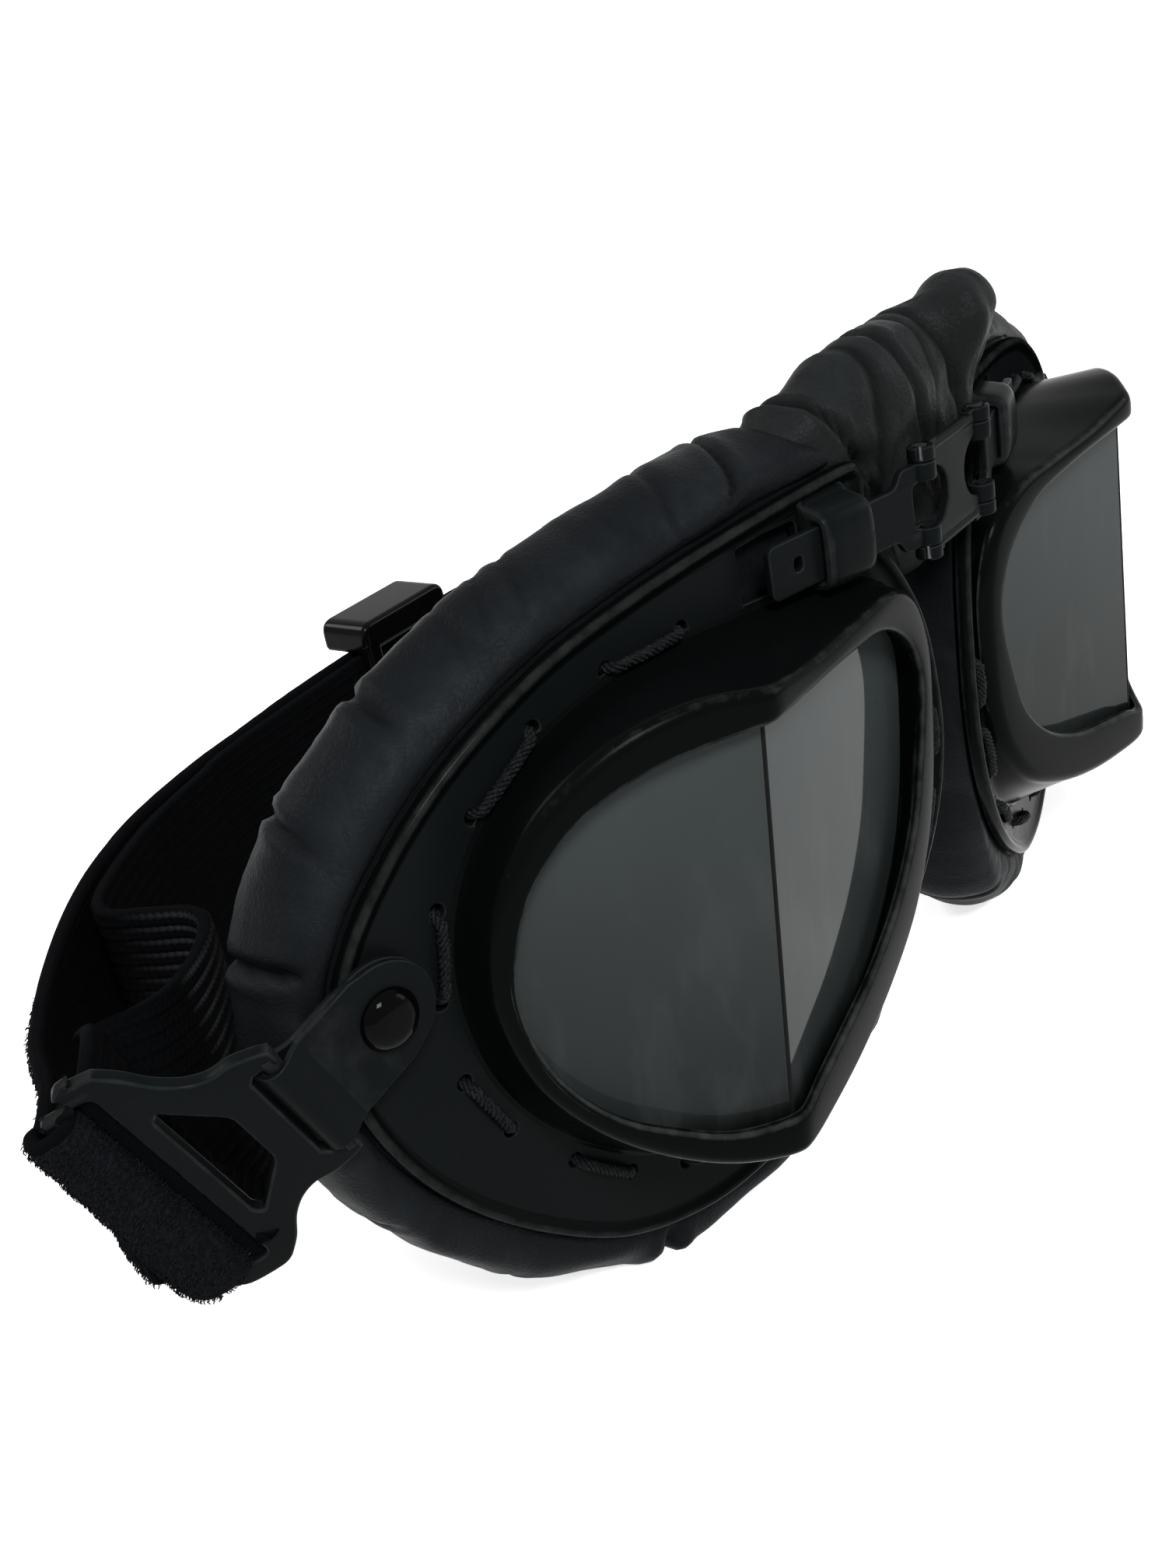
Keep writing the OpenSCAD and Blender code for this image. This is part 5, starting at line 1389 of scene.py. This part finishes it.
def makeLacing():
    s = cordSizes
    p, keys = cordTree()
    for side, sign in sides.items():
        points, edges, length = [], [], 0
        for a, b in stitchPairs:
            path = toPart(stitchPath(a, b), sign)
            length += np.linalg.norm(np.diff(path, axis=0), axis=1).sum() / mm
            edges += [(len(points) + i, len(points) + i + 1) for i in range(len(path) - 1)]
            points += path.tolist()
        cord = runTree("lacing_" + side, points, edges, [], p, keys,
                       {"Strand Radius": s["strand"] * mm, "Coil Radius": s["coil"] * mm,
                        "Strands": s["strands"], "Twist": s["twist"] * -sign, "Finish": finishes["cord"]})
        cord.data.shade_smooth()
        print("lacing", side, "shown length in mm:", round(float(length), 1))
        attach(cord, "eyepiece_" + side)
        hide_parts("lacing_cord_" + side)


makeLacing()
print("lacing done")


def pileTree():
    p, given, keys = nodeTree("loopPile", {"Density": "Float", "Length": "Float", "Radius": "Float",
                                           "Seed": "Int", "Finish": "Material"})
    seed, lean = given["Seed"], pileSizes["lean"]
    spots = p.shape("DistributePointsOnFaces", Mesh=given["Geometry"], Density=given["Density"], Seed=seed)
    away = Wire(p, p.last.outputs["Normal"])
    tilt = p.add("FunctionNodeRandomValue", {"data_type": "FLOAT_VECTOR"},
                 {"Min": [-lean] * 3, "Max": [lean] * 3, "Seed": seed})
    way = p.vectors("ADD", {0: away, 1: tilt})
    turn = p.add("FunctionNodeAlignRotationToVector", {"axis": "Z"}, {"Vector": way})
    size = p.add("FunctionNodeRandomValue", {"data_type": "FLOAT"}, {2: 0.55, 3: 1.1, "Seed": seed}, 1)
    arc = p.shape("CurveQuadraticBezier", Resolution=3, Start=(0, 0, -0.1), Middle=(0.7, 0, 0.7),
                  End=(-0.35, 0, 0.95))
    loop = p.shape("CurveToMesh", Curve=arc, Profile_Curve=ringCurve(p, 3, given["Radius"]), Fill_Caps=True)
    many = p.shape("InstanceOnPoints", Points=spots, Instance=loop, Rotation=turn, Scale=size * given["Length"])
    endTree(p, many, given["Finish"])
    return p, keys


def makePile():  # loops on the strap's outside where it comes round the buckle
    p, keys = pileTree()
    s = pileSizes
    for side, sign in sides.items():
        strap = bpy.data.objects["strapSide_" + side + "_1"].data
        layer = strap.uv_layers["run"].data
        used, faces, points = {}, [], []
        for face in strap.polygons:
            along = [layer[i].uv.y for i in face.loop_indices]
            if face.material_index or len(along) > 4 or min(along) < s["from"] or max(along) > s["to"]:
                continue
            for v in face.vertices:
                if v not in used:
                    used[v] = len(points)
                    points.append(strap.vertices[v].co.copy())
            faces.append([used[v] for v in face.vertices])
        pile = runTree("loopPile_" + side, points, [], faces, p, keys,
                       {"Density": s["density"], "Length": s["long"] * mm, "Radius": s["thin"],
                        "Seed": s["seed"], "Finish": finishes["pile"]})
        start, end = [tuple(middleToPart([v], sign)[0]) for v in sideBlends[0]]
        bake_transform(pile)


makePile()
print("pile done")


# floor, light and camera
stageSizes = {"floor": 40.0, "near": 0.12, "far": 0.6, "glow": 0.72, "worldLight": 0.35}
lamps = {"key": (6.5, 0.2, (-0.35, -0.45, 0.62)), "fill": (1.8, 0.35, (0.55, -0.5, 0.35)),
         "back": (3.0, 0.3, (-0.25, 0.5, 0.55))}  # power, size, place
# the photo's own view: sensor height, focal length in the photo's pixels, place in mm, right, up and back
viewSizes = {"sensor": 24, "focal": 2200, "pixels": 2016, "place": (-167.8, -123.7, 133.5),
             "axes": ((0.568, -0.806, -0.169), (0.449, 0.131, 0.884), (-0.690, -0.578, 0.436))}


def brightToCamera(p, plain, strength):  # white to the camera and in gloss, plain to the light on the object
    path = p.add("ShaderNodeLightPath", out="Is Camera Ray")
    gloss, through = [Wire(p, p.last.outputs[name]) for name in ("Is Glossy Ray", "Is Transmission Ray")]
    return p.maths("MAXIMUM", p.maths("MAXIMUM", path, gloss), through) * (strength - plain) + plain


def makeStage():
    s, v, scene = stageSizes, viewSizes, bpy.context.scene
    half = s["floor"] / 2
    floor = makeMesh("floor", [(a, b, 0) for a, b in boxCorners(-half, -half, half, half)], [(0, 1, 2, 3)], 0)
    if floor.data.polygons[0].normal.z < 0:
        floor.data.flip_normals()
    p = Paint("paleFloor")
    white = p.grade(p.vectors("LENGTH", {0: p.place()}, "Value"), s["near"], s["far"], s["glow"], 1.0)
    bright = brightToCamera(p, 0.0, 1.0) * white
    glow = p.add("ShaderNodeEmission", None, {"Color": (1, 1, 1, 1), "Strength": bright})
    matte = p.add("ShaderNodeBsdfDiffuse", None, {"Color": (0.8, 0.8, 0.8, 1)})
    both = p.add("ShaderNodeAddShader", None, {0: glow, 1: matte})
    p.add("ShaderNodeOutputMaterial", None, {"Surface": both})
    floor.data.materials.append(p.material)
    world = scene.world = bpy.data.worlds.new("studio")
    world.use_nodes = True
    world.node_tree.nodes.clear()
    w = Paint("studio", world.node_tree)
    sky = w.add("ShaderNodeBackground", None,
                {"Color": (1, 1, 1, 1), "Strength": brightToCamera(w, s["worldLight"], 1.0)})
    w.add("ShaderNodeOutputWorld", None, {"Surface": sky})
    for name, (power, size, place) in lamps.items():
        lamp = bpy.data.lights.new(name, "AREA")
        lamp.energy, lamp.size = power, size
        holder = linked(name, lamp)
        holder.location = place
        holder.rotation_euler = (Vector((0, 0, 0.05)) - Vector(place)).to_track_quat("-Z", "Y").to_euler()
    view = bpy.data.cameras.new("view")
    view.sensor_fit, view.sensor_height = "VERTICAL", v["sensor"]
    view.lens = v["sensor"] * v["focal"] / v["pixels"]
    view.clip_start, view.clip_end = 0.01, 20
    camera = scene.camera = linked("view", view)
    turn = Matrix(v["axes"]).transposed().to_4x4()
    camera.matrix_world = Matrix.Translation(Vector(v["place"]) * mm) @ turn
    scene.view_settings.view_transform = "Standard"


makeStage()
print("stage done")
